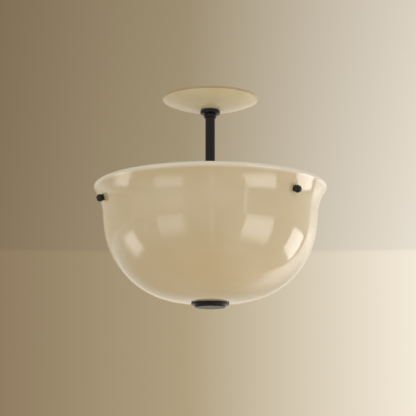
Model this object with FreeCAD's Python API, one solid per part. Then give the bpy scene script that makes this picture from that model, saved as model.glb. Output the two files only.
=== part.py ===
"""Semi flush ceiling light: a glass bowl on a short stem under a round ceiling canopy.

Millimetres.  The origin is on the stem's axis in the plane of the ceiling, +Z points up
and the room is below.  The front of the light, as the photograph shows it, is -Y.
"""
import FreeCAD, Part

import math
import os

from FreeCAD import Vector

# ---------------------------------------------------------------- clearances
FIT = 0.05                  # radial play of a fixed pin, tube or screw in its hole
RUNNING = 0.06              # radial play of a piece that turns or slides on another
SEAT = 0.3                  # gap between two bodies that meet on a curved face
FACE = 0.2                  # gap between two bodies that meet on flat faces

# ---------------------------------------------------------------- glass bowl
# The outside is a flat seat for the finial and four tangent arcs out and up to the lip.
# Each arc is a radius and the slope, in degrees above the horizontal, at which it ends.
BOWL_BOTTOM_Z = -357.4      # flat underside of the bowl, below the ceiling
BOWL_WALL = 5.0
BASE_FLAT_R = 31.0
BASE_RADIUS = 173.5
BASE_SLOPE = 19.9
HAUNCH_RADIUS = 139.8
HAUNCH_SLOPE = 81.3
SIDE_RADIUS = 480.0
SIDE_SLOPE = 85.5
FLARE_RADIUS = 76.4         # this arc is hollow outwards and opens the lip
FLARE_SLOPE = 54.1
LIP_BEAD_R = 4.5            # the lip is rolled into a bead, thicker than the wall
LIP_BLEND = 2.0             # fillet where the bead meets the inside of the wall
CENTRE_HOLE_R = 9.0
SIDE_HOLE_R = 4.6

# ---------------------------------------------------------------- crossbar and its screws
BAR_LENGTH = 116.0
BAR_WIDTH = 24.0
BAR_THICKNESS = 2.0
BAR_DROP = 9.0              # the middle of the bar hangs this far under its ends
BAR_MIDDLE = 48.0           # length of the dropped middle
BAR_BEND_RUN = 5.0          # length that each sloping leg takes along the bar
BAR_BEND_R = 2.5            # bend radius at mid thickness
BAR_CORNER_R = 5.0
SLOT_SPACING = 79.4         # middle of one slot to middle of the other
SLOT_LENGTH = 14.5          # end to end: takes boxes from 69.9 to 88.9 mm between screws
SLOT_WIDTH = 5.0
GROUND_SCREW_X = 17.0
GROUND_SCREW_R = 2.0
GROUND_HEAD_R = 4.0
GROUND_HEAD_HEIGHT = 2.4
GROUND_SCREW_LENGTH = 4.5

# ---------------------------------------------------------------- threaded pipe and nuts
PIPE_R = 4.9
PIPE_BORE_R = 3.2
PIPE_CHAMFER = 0.6
NUT_FLATS = 14.0
NUT_HEIGHT = 4.5
LOCK_WASHER_R = 8.0
LOCK_WASHER_HEIGHT = 0.9
NIPPLE_STAND = 2.0          # pipe showing past the upper nut

# ---------------------------------------------------------------- stem
STEM_R = 8.4
STEM_WALL = 1.5
STEM_TOP_GAP = 0.3          # stem end to the lower nut of the crossbar
BUSH_LENGTH = 16.0

# ---------------------------------------------------------------- canopy and collar
CANOPY_R = 83.0
CANOPY_DEPTH = 21.0
CANOPY_EDGE = 3.0           # upright band round the edge
CANOPY_EDGE_ROUND = 1.3
CANOPY_WALL = 1.2
CANOPY_HOLE_PLAY = 0.6
FELT_R = 15.5
FELT_THICKNESS = 1.0
COLLAR_R = 17.25
COLLAR_FLANGE = 6.0
COLLAR_NECK_R = 10.8
COLLAR_NECK = 6.8
COLLAR_TOP_ROUND = 1.2
COLLAR_ROUND = 2.2
COLLAR_NECK_ROUND = 1.5
SET_SCREW_R = 1.5
SET_SCREW_SOCKET_R = 0.75
SET_SCREW_SOCKET_DEPTH = 1.0

# ---------------------------------------------------------------- side knobs
KNOB_SLOPE = 73.3           # the knobs sit where the glass has this slope
KNOB_AZIMUTHS = {"front_right": -42.8, "rear": 77.2, "front_left": 197.2}
KNOB_SCREW_R = 2.4
WASHER_R = 5.6
WASHER_THICKNESS = 1.0
KNOB_R = 6.5
KNOB_BACK = 4.6             # from the knob's flat back to the centre of its ball
KNOB_DIMPLE_R = 1.5
KNOB_DIMPLE_DEPTH = 0.7
KNOB_SOCKET = 5.0           # depth of the blind hole that holds the screw's head end
GROMMET_R = 7.5
GROMMET_FLANGE = 1.5
GROMMET_BORE_PLAY = 0.35

# ---------------------------------------------------------------- spider
ARM_RISE = 16.0             # top of the hub above the places where the knobs pass the glass
HUB_PLATE_R = 30.0
HUB_PLATE = 3.0
HUB_NECK_R = 14.0
HUB_NECK = 12.0
ARM_WIDTH = 14.0
ARM_THICKNESS = 3.0
ARM_START_R = 10.5
ARM_BEND_R = 6.0
TAB_BELOW_KNOB = 8.0        # tab left beyond the centre of the knob's hole
WELD_NUT_FLATS = 9.0
WELD_NUT_HEIGHT = 6.0
ARM_SCREW_RADII = (17.5, 25.5)
ARM_SCREW_R = 2.0
ARM_SCREW_HEAD_R = 3.6
ARM_SCREW_HEAD = 2.2
ARM_SCREW_SLOT = 0.9

# ---------------------------------------------------------------- lamp cluster
CLUSTER_R = 30.0
CLUSTER_TOP_Z = -238.0
CLUSTER_HEIGHT = 40.0
CLUSTER_WALL = 1.5
CLUSTER_ROUND = 6.0
COVER_R = 31.5
COVER_THICKNESS = 2.0
COVER_ROUND = 0.8
LAMP_AXIS_DROP = 30.0       # the lamps' axes meet the stem's axis this far under the top
LAMP_TILT = 25.0            # the lamps point this far above the horizontal
LAMP_AZIMUTHS = {"front": 257.8, "right": 17.8, "left": 137.8}

# ---------------------------------------------------------------- lampholders, along the lamp axis
HOLDER_NIPPLE_START = 27.0
HOLDER_START = 40.0
HOLDER_LENGTH = 45.0
HOLDER_R = 19.0
HOLDER_NECK_R = 11.5
HOLDER_NECK = 7.0
HOLDER_SHOULDER = 6.0
HOLDER_FLOOR = 12.0         # solid end behind the lamp
HOLDER_BORE_R = 15.2
HOLDER_RIM_R = 20.5
HOLDER_RIM = 5.0
HOLDER_ROUND = 1.5
SHELL_BORE_R = 13.35
SHELL_WALL = 0.6
SHELL_LENGTH = 24.0
CONTACT_WIDTH = 5.0
CONTACT_THICKNESS = 0.5
CONTACT_REACH = 7.0
CONTACT_HEIGHT = 3.6

# ---------------------------------------------------------------- lamps
CAP_R = 13.1
CAP_ROOT_R = 12.2
CAP_PITCH = 3.63
CAP_THREADS = 5
CAP_CREST = 0.3             # share of the pitch that the flat of a thread's crest takes
CAP_SKIRT = 5.0
CAP_TIP_R = 4.5
CAP_TIP = 3.4               # height of the insulated tip under the threads
ENVELOPE_R = 30.0
ENVELOPE_NECK_R = 12.6
LAMP_LENGTH = 108.0
ENVELOPE_WALL = 0.9
ENVELOPE_FLANK = 30.0       # slope at which the round end hands over to the flank
ENVELOPE_PULL = 0.4         # how far the flank runs straight at each end, as a share of its height

# ---------------------------------------------------------------- base of the bowl
SEAT_R = 24.0
SEAT_THICKNESS = 2.9
SEAT_BORE_PLAY = 0.3
CHECK_PLATE_R = 22.0
CHECK_PLATE = 2.0
FINIAL_R = 32.4
FINIAL_FLANGE = 2.9
FINIAL_FLANGE_ROUND = 1.0
FINIAL_BODY_R = 26.6
FINIAL_FACE_R = 24.9
FINIAL_BEVEL = 1.8          # height of the bevel between the body and the face
FINIAL_FACE_DROP = 8.0      # flat face below the bottom of the bowl
FINIAL_COVE = 1.2           # fillet under the flange
FINIAL_BOSS_R = 6.8
FINIAL_BLIND = 1.8          # metal left under the threaded hole
GASKET_R = 26.0
GASKET_INNER_R = 10.0
GASKET_THICKNESS = 1.4


# ================================================================ helpers
def ring(outer_r, inner_r, z_low, z_high):
    """A washer or tube between two heights."""
    height = z_high - z_low
    outside = Part.makeCylinder(outer_r, height, Vector(0, 0, z_low))
    if inner_r <= 0:
        return outside
    return outside.cut(Part.makeCylinder(inner_r, height, Vector(0, 0, z_low)))


def revolve(points):
    """Turns a closed outline of (radius, height) points about the Z axis."""
    corners = [Vector(r, 0, z) for r, z in points]
    outline = Part.makePolygon(corners + corners[:1])
    return Part.Face(outline).revolve(Vector(0, 0, 0), Vector(0, 0, 1), 360)


def arc_edge(start, middle, end):
    """An arc through three (x, z) points in the XZ plane."""
    through = [Vector(x, 0, z) for x, z in (start, middle, end)]
    return Part.Arc(*through).toShape()


def line_edge(start, end):
    """A straight edge between two (x, z) points in the XZ plane."""
    return Part.LineSegment(Vector(start[0], 0, start[1]), Vector(end[0], 0, end[1])).toShape()


def circular_edges(shape, radius, z):
    """The full-circle edges about the Z axis with one radius at one height."""
    found = []
    for edge in shape.Edges:
        if edge.Degenerated:
            continue
        curve = edge.Curve
        if not isinstance(curve, Part.Circle):
            continue
        same_radius = abs(curve.Radius - radius) < 1e-4
        same_place = (curve.Center - Vector(0, 0, z)).Length < 1e-4
        if same_radius and same_place:
            found.append(edge)
    return found


def round_circle(shape, radius, z, fillet):
    """Rounds the circular edge of one radius at one height."""
    return shape.makeFillet(fillet, circular_edges(shape, radius, z))


def hexagon(across_flats, z_low, height, bore_r):
    """A hex nut with chamfered corners and a plain bore."""
    corner_r = across_flats / math.sqrt(3)
    corners = []
    for step in range(6):
        angle = math.radians(60 * step)
        corners.append(Vector(corner_r * math.cos(angle), corner_r * math.sin(angle), z_low))
    prism = Part.Face(Part.makePolygon(corners + corners[:1])).extrude(Vector(0, 0, height))
    flat_r = across_flats / 2
    drop = (corner_r - flat_r) * math.tan(math.radians(30))
    bevel = revolve([
        (0, z_low),
        (flat_r, z_low),
        (corner_r, z_low + drop),
        (corner_r, z_low + height - drop),
        (flat_r, z_low + height),
        (0, z_low + height),
    ])
    return prism.common(bevel).cut(Part.makeCylinder(bore_r, height, Vector(0, 0, z_low)))


def pipe(z_low, z_high):
    """A length of threaded pipe with chamfered ends."""
    crest_low = z_low + PIPE_CHAMFER
    crest_high = z_high - PIPE_CHAMFER
    return revolve([
        (PIPE_BORE_R, z_low),
        (PIPE_R - PIPE_CHAMFER, z_low),
        (PIPE_R, crest_low),
        (PIPE_R, crest_high),
        (PIPE_R - PIPE_CHAMFER, z_high),
        (PIPE_BORE_R, z_high),
    ])


def strip_side(points, bend_radius, offset):
    """One side of a bent strip: its lines and tangent arcs, offset from the middle line."""
    edges = []
    last = None
    for index in range(len(points) - 1):
        here = Vector(points[index][0], 0, points[index][1])
        there = Vector(points[index + 1][0], 0, points[index + 1][1])
        along = (there - here).normalize()
        normal = Vector(-along.z, 0, along.x)
        start = here + normal * offset if last is None else last
        if index + 2 == len(points):
            edges.append(Part.LineSegment(start, there + normal * offset).toShape())
            break
        after = Vector(points[index + 2][0], 0, points[index + 2][1])
        onward = (after - there).normalize()
        turn = math.atan2(along.x * onward.z - along.z * onward.x, along.dot(onward))
        tangent = bend_radius * math.tan(abs(turn) / 2)
        side = math.copysign(1, turn)
        centre = there - along * tangent + normal * (side * bend_radius)
        next_normal = Vector(-onward.z, 0, onward.x)
        arc_radius = bend_radius - side * offset
        first = centre - normal * (side * arc_radius)
        last = centre - next_normal * (side * arc_radius)
        middle = centre - (normal + next_normal).normalize() * (side * arc_radius)
        edges.append(Part.LineSegment(start, first).toShape())
        edges.append(Part.Arc(first, middle, last).toShape())
    return edges


def strip(points, bend_radius, thickness, width):
    """A flat strip bent along (x, z) points, as wide as given and centred on y = 0."""
    above = strip_side(points, bend_radius, thickness / 2)
    below = strip_side(points, bend_radius, -thickness / 2)
    starts = [side[0].firstVertex(True).Point for side in (above, below)]
    ends = [side[-1].lastVertex(True).Point for side in (above, below)]
    caps = [Part.LineSegment(*starts).toShape(), Part.LineSegment(*ends).toShape()]
    outline = Part.Wire(Part.__sortEdges__(above + below + caps))
    body = Part.Face(outline).extrude(Vector(0, width, 0))
    body.translate(Vector(0, -width / 2, 0))
    return body


def turned(shape, azimuth):
    """A copy turned about the stem's axis."""
    copy = shape.copy()
    copy.rotate(Vector(0, 0, 0), Vector(0, 0, 1), azimuth)
    return copy


# ================================================================ places worked out from the sizes
def bowl_arcs(inset, last_slope):
    """The bowl's tangent arcs as (start, middle, end) points, moved in by the wall's inset."""
    spans = (
        (BASE_RADIUS, BASE_SLOPE, 1),
        (HAUNCH_RADIUS, HAUNCH_SLOPE, 1),
        (SIDE_RADIUS, SIDE_SLOPE, 1),
        (FLARE_RADIUS, last_slope, -1),
    )
    arcs = []
    r = BASE_FLAT_R
    z = BOWL_BOTTOM_Z
    slope = 0.0
    for radius, end_slope, bulge in spans:
        centre_r = r - bulge * radius * math.sin(math.radians(slope))
        centre_z = z + bulge * radius * math.cos(math.radians(slope))
        reach = radius - bulge * inset
        points = []
        for at in (slope, (slope + end_slope) / 2, end_slope):
            angle = math.radians(at)
            points.append((
                centre_r + bulge * reach * math.sin(angle),
                centre_z - bulge * reach * math.cos(angle),
            ))
        arcs.append(points)
        end = math.radians(end_slope)
        r = centre_r + bulge * radius * math.sin(end)
        z = centre_z - bulge * radius * math.cos(end)
        slope = end_slope
    return arcs


def bead_centre():
    """Centre of the lip's round section, as (radius, height)."""
    r, z = bowl_arcs(0, FLARE_SLOPE)[-1][2]
    slope = math.radians(FLARE_SLOPE)
    return r - LIP_BEAD_R * math.sin(slope), z + LIP_BEAD_R * math.cos(slope)


def bead_slope():
    """Slope at which the inside of the wall runs into the lip's bead."""
    to_bead = FLARE_RADIUS + LIP_BEAD_R
    to_wall = FLARE_RADIUS + BOWL_WALL
    cosine = (to_bead ** 2 + to_wall ** 2 - LIP_BEAD_R ** 2) / (2 * to_bead * to_wall)
    return FLARE_SLOPE + math.degrees(math.acos(cosine))


def knob_point():
    """Where a knob's axis crosses the outside of the glass, as (radius, height)."""
    flare_start = bowl_arcs(0, FLARE_SLOPE)[-1][0]
    from_angle = math.radians(SIDE_SLOPE)
    to_angle = math.radians(KNOB_SLOPE)
    r = flare_start[0] + FLARE_RADIUS * (math.sin(from_angle) - math.sin(to_angle))
    z = flare_start[1] + FLARE_RADIUS * (math.cos(to_angle) - math.cos(from_angle))
    return r, z


def on_knob_axis(shape, azimuth):
    """Places a shape made on +Z, with z = 0 at the outside of the glass, on a knob's axis."""
    r, z = knob_point()
    placed = shape.copy()
    placed.rotate(Vector(0, 0, 0), Vector(0, 1, 0), 180 - KNOB_SLOPE)
    placed.translate(Vector(r, 0, z))
    return turned(placed, azimuth)


def on_lamp_axis(shape, azimuth):
    """Places a shape made on +Z, with z = 0 on the stem's axis, on a lamp's axis."""
    placed = shape.copy()
    placed.rotate(Vector(0, 0, 0), Vector(0, 1, 0), 90 - LAMP_TILT)
    placed.translate(Vector(0, 0, CLUSTER_TOP_Z - LAMP_AXIS_DROP))
    return turned(placed, azimuth)


def canopy_ball(gap):
    """A ball that lies under the canopy's dish by a gap."""
    rise = CANOPY_DEPTH - CANOPY_EDGE
    radius = (CANOPY_R ** 2 + rise ** 2) / (2 * rise)
    return Part.makeSphere(radius + gap, Vector(0, 0, radius - CANOPY_DEPTH))


# heights under the ceiling
BAR_MID_TOP_Z = -BAR_DROP
BAR_MID_LOW_Z = BAR_MID_TOP_Z - BAR_THICKNESS
UPPER_NUT_Z = BAR_MID_TOP_Z + LOCK_WASHER_HEIGHT
NIPPLE_TOP_Z = UPPER_NUT_Z + NUT_HEIGHT + NIPPLE_STAND
LOWER_NUT_Z = BAR_MID_LOW_Z - LOCK_WASHER_HEIGHT - NUT_HEIGHT
STEM_TOP_Z = LOWER_NUT_Z - STEM_TOP_GAP
STEM_BOTTOM_Z = CLUSTER_TOP_Z + COVER_THICKNESS
FLANGE_TOP_Z = -CANOPY_DEPTH - FELT_THICKNESS
NECK_TOP_Z = FLANGE_TOP_Z - COLLAR_FLANGE
NECK_LOW_Z = NECK_TOP_Z - COLLAR_NECK
HUB_TOP_Z = knob_point()[1] + ARM_RISE
CLUSTER_LOW_Z = CLUSTER_TOP_Z - CLUSTER_HEIGHT
GLASS_INSIDE_Z = BOWL_BOTTOM_Z + BOWL_WALL
CHECK_PLATE_Z = GLASS_INSIDE_Z + SEAT_THICKNESS
GASKET_TOP_Z = BOWL_BOTTOM_Z - SEAT
GASKET_LOW_Z = GASKET_TOP_Z - GASKET_THICKNESS
FINIAL_FACE_Z = BOWL_BOTTOM_Z - FINIAL_FACE_DROP
ROD_LOW_Z = FINIAL_FACE_Z + FINIAL_BLIND + FACE
FINIAL_BOSS_Z = CHECK_PLATE_Z - FACE

# places along a knob's axis, outwards from the outside of the glass
WASHER_START = SEAT
KNOB_START = WASHER_START + WASHER_THICKNESS + FACE
GROMMET_FACE = -BOWL_WALL - SEAT
TAB_FACE = GROMMET_FACE - GROMMET_FLANGE
TAB_BACK = TAB_FACE - ARM_THICKNESS
WELD_NUT_BACK = TAB_BACK - WELD_NUT_HEIGHT

# places along a lamp's axis, outwards from the stem's axis
HOLDER_MOUTH = HOLDER_START + HOLDER_LENGTH
HOLDER_SEAT = HOLDER_START + HOLDER_FLOOR
SHELL_START = HOLDER_MOUTH - SHELL_LENGTH - HOLDER_ROUND
LAMP_TIP = HOLDER_SEAT + CONTACT_HEIGHT + CONTACT_THICKNESS + SEAT
CAP_THREAD_START = LAMP_TIP + CAP_TIP
CAP_THREAD_END = CAP_THREAD_START + CAP_THREADS * CAP_PITCH
CAP_END = CAP_THREAD_END + CAP_SKIRT
ENVELOPE_CENTRE = LAMP_TIP + LAMP_LENGTH - ENVELOPE_R


# ================================================================ ceiling end
def crossbar():
    """Strap that screws to the ceiling box, with its middle dropped to hide the nuts."""
    mid = -BAR_THICKNESS / 2
    low = mid - BAR_DROP
    end_x = BAR_LENGTH / 2
    inner_x = BAR_MIDDLE / 2
    outer_x = inner_x + BAR_BEND_RUN
    bar = strip(
        [(-end_x, mid), (-outer_x, mid), (-inner_x, low), (inner_x, low), (outer_x, mid), (end_x, mid)],
        BAR_BEND_R, BAR_THICKNESS, BAR_WIDTH,
    )
    corners = []
    for edge in bar.Edges:
        box = edge.BoundBox
        upright = box.XLength < 1e-6 and box.YLength < 1e-6
        if upright and abs(abs(box.XMin) - end_x) < 1e-6:
            corners.append(edge)
    bar = bar.makeFillet(BAR_CORNER_R, corners)
    for side in (-1, 1):
        bar = bar.cut(slot_cutter(side * SLOT_SPACING / 2))
    depth = BAR_DROP + BAR_THICKNESS
    bar = bar.cut(Part.makeCylinder(PIPE_R + FIT, depth, Vector(0, 0, -depth)))
    screw_hole = Part.makeCylinder(GROUND_SCREW_R + FIT, depth, Vector(GROUND_SCREW_X, 0, -depth))
    return bar.cut(screw_hole)


def slot_cutter(x):
    """A slot's shape, round at both ends, through the end of the bar."""
    radius = SLOT_WIDTH / 2
    run = SLOT_LENGTH - SLOT_WIDTH
    low = -BAR_THICKNESS
    cutter = Part.makeBox(run, SLOT_WIDTH, BAR_THICKNESS, Vector(x - run / 2, -radius, low))
    for side in (-1, 1):
        end = Part.makeCylinder(radius, BAR_THICKNESS, Vector(x + side * run / 2, 0, low))
        cutter = cutter.fuse(end)
    return cutter


def slotted_screw(shank_r, shank_length, head_r, head_height, slot_width):
    """A screw that points down, with the underside of its rounded, slotted head at z = 0."""
    dome_r = (head_r ** 2 + head_height ** 2) / (2 * head_height)
    dome = Part.makeSphere(dome_r, Vector(0, 0, head_height - dome_r))
    head = Part.makeCylinder(head_r, head_height).common(dome)
    shank = Part.makeCylinder(shank_r, shank_length, Vector(0, 0, -shank_length))
    slot_depth = head_height / 2
    corner = Vector(-head_r, -slot_width / 2, head_height - slot_depth)
    slot = Part.makeBox(2 * head_r, slot_width, slot_depth, corner)
    return head.fuse(shank).cut(slot)


def ground_screw():
    """Green screw for the earth lead, in the dropped middle of the crossbar."""
    screw = slotted_screw(GROUND_SCREW_R, GROUND_SCREW_LENGTH, GROUND_HEAD_R, GROUND_HEAD_HEIGHT,
                          ARM_SCREW_SLOT)
    screw.translate(Vector(GROUND_SCREW_X, 0, BAR_MID_TOP_Z))
    return screw


def ceiling_nipple():
    """Threaded pipe that ties the stem to the crossbar and lets the leads through."""
    return pipe(STEM_TOP_Z - BUSH_LENGTH, NIPPLE_TOP_Z)


def crossbar_nuts():
    """The two hex nuts that lock the nipple to the crossbar."""
    upper = hexagon(NUT_FLATS, UPPER_NUT_Z, NUT_HEIGHT, PIPE_R + FIT)
    lower = hexagon(NUT_FLATS, LOWER_NUT_Z, NUT_HEIGHT, PIPE_R + FIT)
    return Part.makeCompound([upper, lower])


def lock_washers():
    """The two split washers between the nuts and the crossbar."""
    washers = []
    for low in (BAR_MID_TOP_Z, BAR_MID_LOW_Z - LOCK_WASHER_HEIGHT):
        washer = ring(LOCK_WASHER_R, PIPE_R + FIT, low, low + LOCK_WASHER_HEIGHT)
        split = Part.makeBox(LOCK_WASHER_R, LOCK_WASHER_HEIGHT, LOCK_WASHER_HEIGHT, Vector(0, 0, low))
        washers.append(washer.cut(split))
    return Part.makeCompound(washers)


# ================================================================ stem
def stem():
    """The tube between the crossbar and the lamp cluster."""
    return ring(STEM_R, STEM_R - STEM_WALL, STEM_BOTTOM_Z, STEM_TOP_Z)


def stem_bush(z_low):
    """A threaded bush pressed into one end of the stem."""
    return ring(STEM_R - STEM_WALL - FIT, PIPE_R + FIT, z_low, z_low + BUSH_LENGTH)


# ================================================================ canopy
def canopy():
    """Spun dish with an upright edge band, open at the top and pierced for the stem."""
    solid = Part.makeCylinder(CANOPY_R, CANOPY_DEPTH, Vector(0, 0, -CANOPY_DEPTH))
    outer = solid.common(canopy_ball(0))
    outer = round_circle(outer, CANOPY_R, -CANOPY_EDGE, CANOPY_EDGE_ROUND)
    inner_r = CANOPY_R - CANOPY_WALL
    inner = Part.makeCylinder(inner_r, CANOPY_DEPTH, Vector(0, 0, -CANOPY_DEPTH))
    shell = outer.cut(inner.common(canopy_ball(-CANOPY_WALL)))
    hole = Part.makeCylinder(STEM_R + CANOPY_HOLE_PLAY, CANOPY_DEPTH, Vector(0, 0, -CANOPY_DEPTH))
    return shell.cut(hole)


def canopy_felt():
    """Felt washer that keeps the collar off the enamel; its top follows the dish."""
    washer = ring(FELT_R, STEM_R + CANOPY_HOLE_PLAY, FLANGE_TOP_Z, -CANOPY_DEPTH + FELT_THICKNESS)
    return washer.cut(canopy_ball(0))


def canopy_collar():
    """Flanged collar that holds the canopy up, clamped to the stem by its set screw."""
    flange = Part.makeCylinder(COLLAR_R, COLLAR_FLANGE, Vector(0, 0, NECK_TOP_Z))
    flange = round_circle(flange, COLLAR_R, FLANGE_TOP_Z, COLLAR_TOP_ROUND)
    flange = round_circle(flange, COLLAR_R, NECK_TOP_Z, COLLAR_ROUND)
    neck = Part.makeCylinder(COLLAR_NECK_R, COLLAR_NECK, Vector(0, 0, NECK_LOW_Z))
    neck = round_circle(neck, COLLAR_NECK_R, NECK_LOW_Z, COLLAR_NECK_ROUND)
    collar = flange.fuse(neck)
    bore_length = COLLAR_FLANGE + COLLAR_NECK
    collar = collar.cut(Part.makeCylinder(STEM_R + RUNNING, bore_length, Vector(0, 0, NECK_LOW_Z)))
    tapped = Part.makeCylinder(SET_SCREW_R + RUNNING, COLLAR_NECK_R, set_screw_root(0), Vector(0, 1, 0))
    return collar.cut(tapped)


def set_screw_root(y):
    """A point on the set screw's axis, at the back of the collar's neck."""
    return Vector(0, y, NECK_LOW_Z + COLLAR_NECK / 2)


def collar_set_screw():
    """Headless screw at the back of the collar, with a socket for its key."""
    start = STEM_R + FACE
    length = COLLAR_NECK_R - start
    screw = Part.makeCylinder(SET_SCREW_R, length, set_screw_root(start), Vector(0, 1, 0))
    mouth = COLLAR_NECK_R - SET_SCREW_SOCKET_DEPTH
    socket = Part.makeCylinder(SET_SCREW_SOCKET_R, SET_SCREW_SOCKET_DEPTH, set_screw_root(mouth),
                               Vector(0, 1, 0))
    return screw.cut(socket)


# ================================================================ glass bowl
def glass_bowl():
    """Blown bowl with a flared, rolled lip, pierced for the centre rod and the three knobs."""
    outside = bowl_arcs(0, FLARE_SLOPE)
    inside = bowl_arcs(BOWL_WALL, bead_slope())
    bead_r, bead_z = bead_centre()
    bead_end = inside[-1][2]
    hole_low = (CENTRE_HOLE_R, BOWL_BOTTOM_Z)
    hole_high = (CENTRE_HOLE_R, GLASS_INSIDE_Z)
    edges = [arc_edge(*points) for points in outside + inside]
    edges.append(arc_edge(outside[-1][2], (bead_r, bead_z + LIP_BEAD_R), bead_end))
    edges.append(line_edge(outside[0][0], hole_low))
    edges.append(line_edge(hole_low, hole_high))
    edges.append(line_edge(hole_high, inside[0][0]))
    outline = Part.Wire(Part.__sortEdges__(edges))
    bowl = Part.Face(outline).revolve(Vector(0, 0, 0), Vector(0, 0, 1), 360)
    bowl = round_circle(bowl, bead_end[0], bead_end[1], LIP_BLEND)
    for azimuth in KNOB_AZIMUTHS.values():
        hole = Part.makeCylinder(SIDE_HOLE_R, 3 * BOWL_WALL, Vector(0, 0, -2 * BOWL_WALL))
        bowl = bowl.cut(on_knob_axis(hole, azimuth))
    return bowl


def side_grommets():
    """Rubber bushes in the bowl's side holes, each with a flange inside the glass."""
    bore_r = KNOB_SCREW_R + GROMMET_BORE_PLAY
    flange = ring(GROMMET_R, bore_r, TAB_FACE, GROMMET_FACE)
    sleeve = ring(SIDE_HOLE_R - SEAT, bore_r, GROMMET_FACE, -SEAT)
    grommet = flange.fuse(sleeve)
    return Part.makeCompound([on_knob_axis(grommet, azimuth) for azimuth in KNOB_AZIMUTHS.values()])


# ================================================================ knobs
def knob_head():
    """Ball knob with a flat back, a dimple in its face and a blind hole for its screw."""
    centre = KNOB_START + KNOB_BACK
    ball = Part.makeSphere(KNOB_R, Vector(0, 0, centre))
    behind = Part.makeCylinder(KNOB_R, KNOB_R, Vector(0, 0, KNOB_START - KNOB_R))
    dimple_top = centre + KNOB_R + KNOB_DIMPLE_R - KNOB_DIMPLE_DEPTH
    head = ball.cut(behind).cut(Part.makeSphere(KNOB_DIMPLE_R, Vector(0, 0, dimple_top)))
    return head.cut(Part.makeCylinder(KNOB_SCREW_R + FIT, KNOB_SOCKET, Vector(0, 0, KNOB_START)))


def knob_screw():
    """Threaded shank from the knob through the glass into the arm's nut."""
    low = WELD_NUT_BACK
    high = KNOB_START + KNOB_SOCKET
    return Part.makeCylinder(KNOB_SCREW_R, high - low, Vector(0, 0, low))


def knob_washer():
    """Small dark washer between a knob and the glass."""
    return ring(WASHER_R, KNOB_SCREW_R + RUNNING, WASHER_START, WASHER_START + WASHER_THICKNESS)


# ================================================================ spider
def spider_hub():
    """Turned hub on the stem, with a round plate that carries the three arms."""
    plate = Part.makeCylinder(HUB_PLATE_R, HUB_PLATE, Vector(0, 0, HUB_TOP_Z - HUB_PLATE))
    depth = HUB_PLATE + HUB_NECK
    neck = Part.makeCylinder(HUB_NECK_R, depth, Vector(0, 0, HUB_TOP_Z - depth))
    hub = plate.fuse(neck)
    hub = hub.cut(Part.makeCylinder(STEM_R + FIT, depth, Vector(0, 0, HUB_TOP_Z - depth)))
    for azimuth in KNOB_AZIMUTHS.values():
        for radius in ARM_SCREW_RADII:
            hole = Part.makeCylinder(ARM_SCREW_R + FIT, depth, Vector(radius, 0, HUB_TOP_Z - depth))
            hub = hub.cut(turned(hole, azimuth))
    tapped = Part.makeCylinder(SET_SCREW_R + FIT, HUB_NECK_R, hub_screw_root(0), Vector(0, 1, 0))
    return hub.cut(tapped)


def hub_screw_root(y):
    """A point on the axis of the screw that locks the hub to the stem."""
    return Vector(0, y, HUB_TOP_Z - HUB_PLATE - HUB_NECK / 2)


def hub_set_screw():
    """Headless screw that locks the hub to the stem."""
    return Part.makeCylinder(SET_SCREW_R, HUB_NECK_R - STEM_R, hub_screw_root(STEM_R), Vector(0, 1, 0))


def spider_arm(azimuth):
    """Bent strap from the hub to a tab that lies along the inside of the glass."""
    knob_r, knob_z = knob_point()
    slope = math.radians(KNOB_SLOPE)
    tab_mid = TAB_FACE - ARM_THICKNESS / 2
    hole_r = knob_r + tab_mid * math.sin(slope)
    hole_z = knob_z - tab_mid * math.cos(slope)
    arm_z = HUB_TOP_Z + ARM_THICKNESS / 2
    corner_r = hole_r + (arm_z - hole_z) / math.tan(slope)
    end_r = hole_r - TAB_BELOW_KNOB * math.cos(slope)
    end_z = hole_z - TAB_BELOW_KNOB * math.sin(slope)
    path = [(ARM_START_R, arm_z), (corner_r, arm_z), (end_r, end_z)]
    arm = turned(strip(path, ARM_BEND_R, ARM_THICKNESS, ARM_WIDTH), azimuth)
    depth = ARM_THICKNESS + GROMMET_FLANGE
    hole = Part.makeCylinder(KNOB_SCREW_R + GROMMET_BORE_PLAY, depth, Vector(0, 0, TAB_BACK - SEAT))
    arm = arm.cut(on_knob_axis(hole, azimuth))
    for radius in ARM_SCREW_RADII:
        hole = Part.makeCylinder(ARM_SCREW_R + FIT, ARM_THICKNESS, Vector(radius, 0, HUB_TOP_Z))
        arm = arm.cut(turned(hole, azimuth))
    return arm


def weld_nuts():
    """The threaded nuts on the backs of the arms' tabs, one for each knob."""
    nut = hexagon(WELD_NUT_FLATS, WELD_NUT_BACK, WELD_NUT_HEIGHT, KNOB_SCREW_R + RUNNING)
    return Part.makeCompound([on_knob_axis(nut, azimuth) for azimuth in KNOB_AZIMUTHS.values()])


def arm_screws():
    """The six slotted screws that fix the arms to the hub's plate."""
    length = ARM_THICKNESS + HUB_PLATE
    screw = slotted_screw(ARM_SCREW_R, length, ARM_SCREW_HEAD_R, ARM_SCREW_HEAD, ARM_SCREW_SLOT)
    screws = []
    for azimuth in KNOB_AZIMUTHS.values():
        for radius in ARM_SCREW_RADII:
            placed = screw.copy()
            placed.translate(Vector(radius, 0, HUB_TOP_Z + ARM_THICKNESS))
            screws.append(turned(placed, azimuth))
    return Part.makeCompound(screws)


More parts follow.
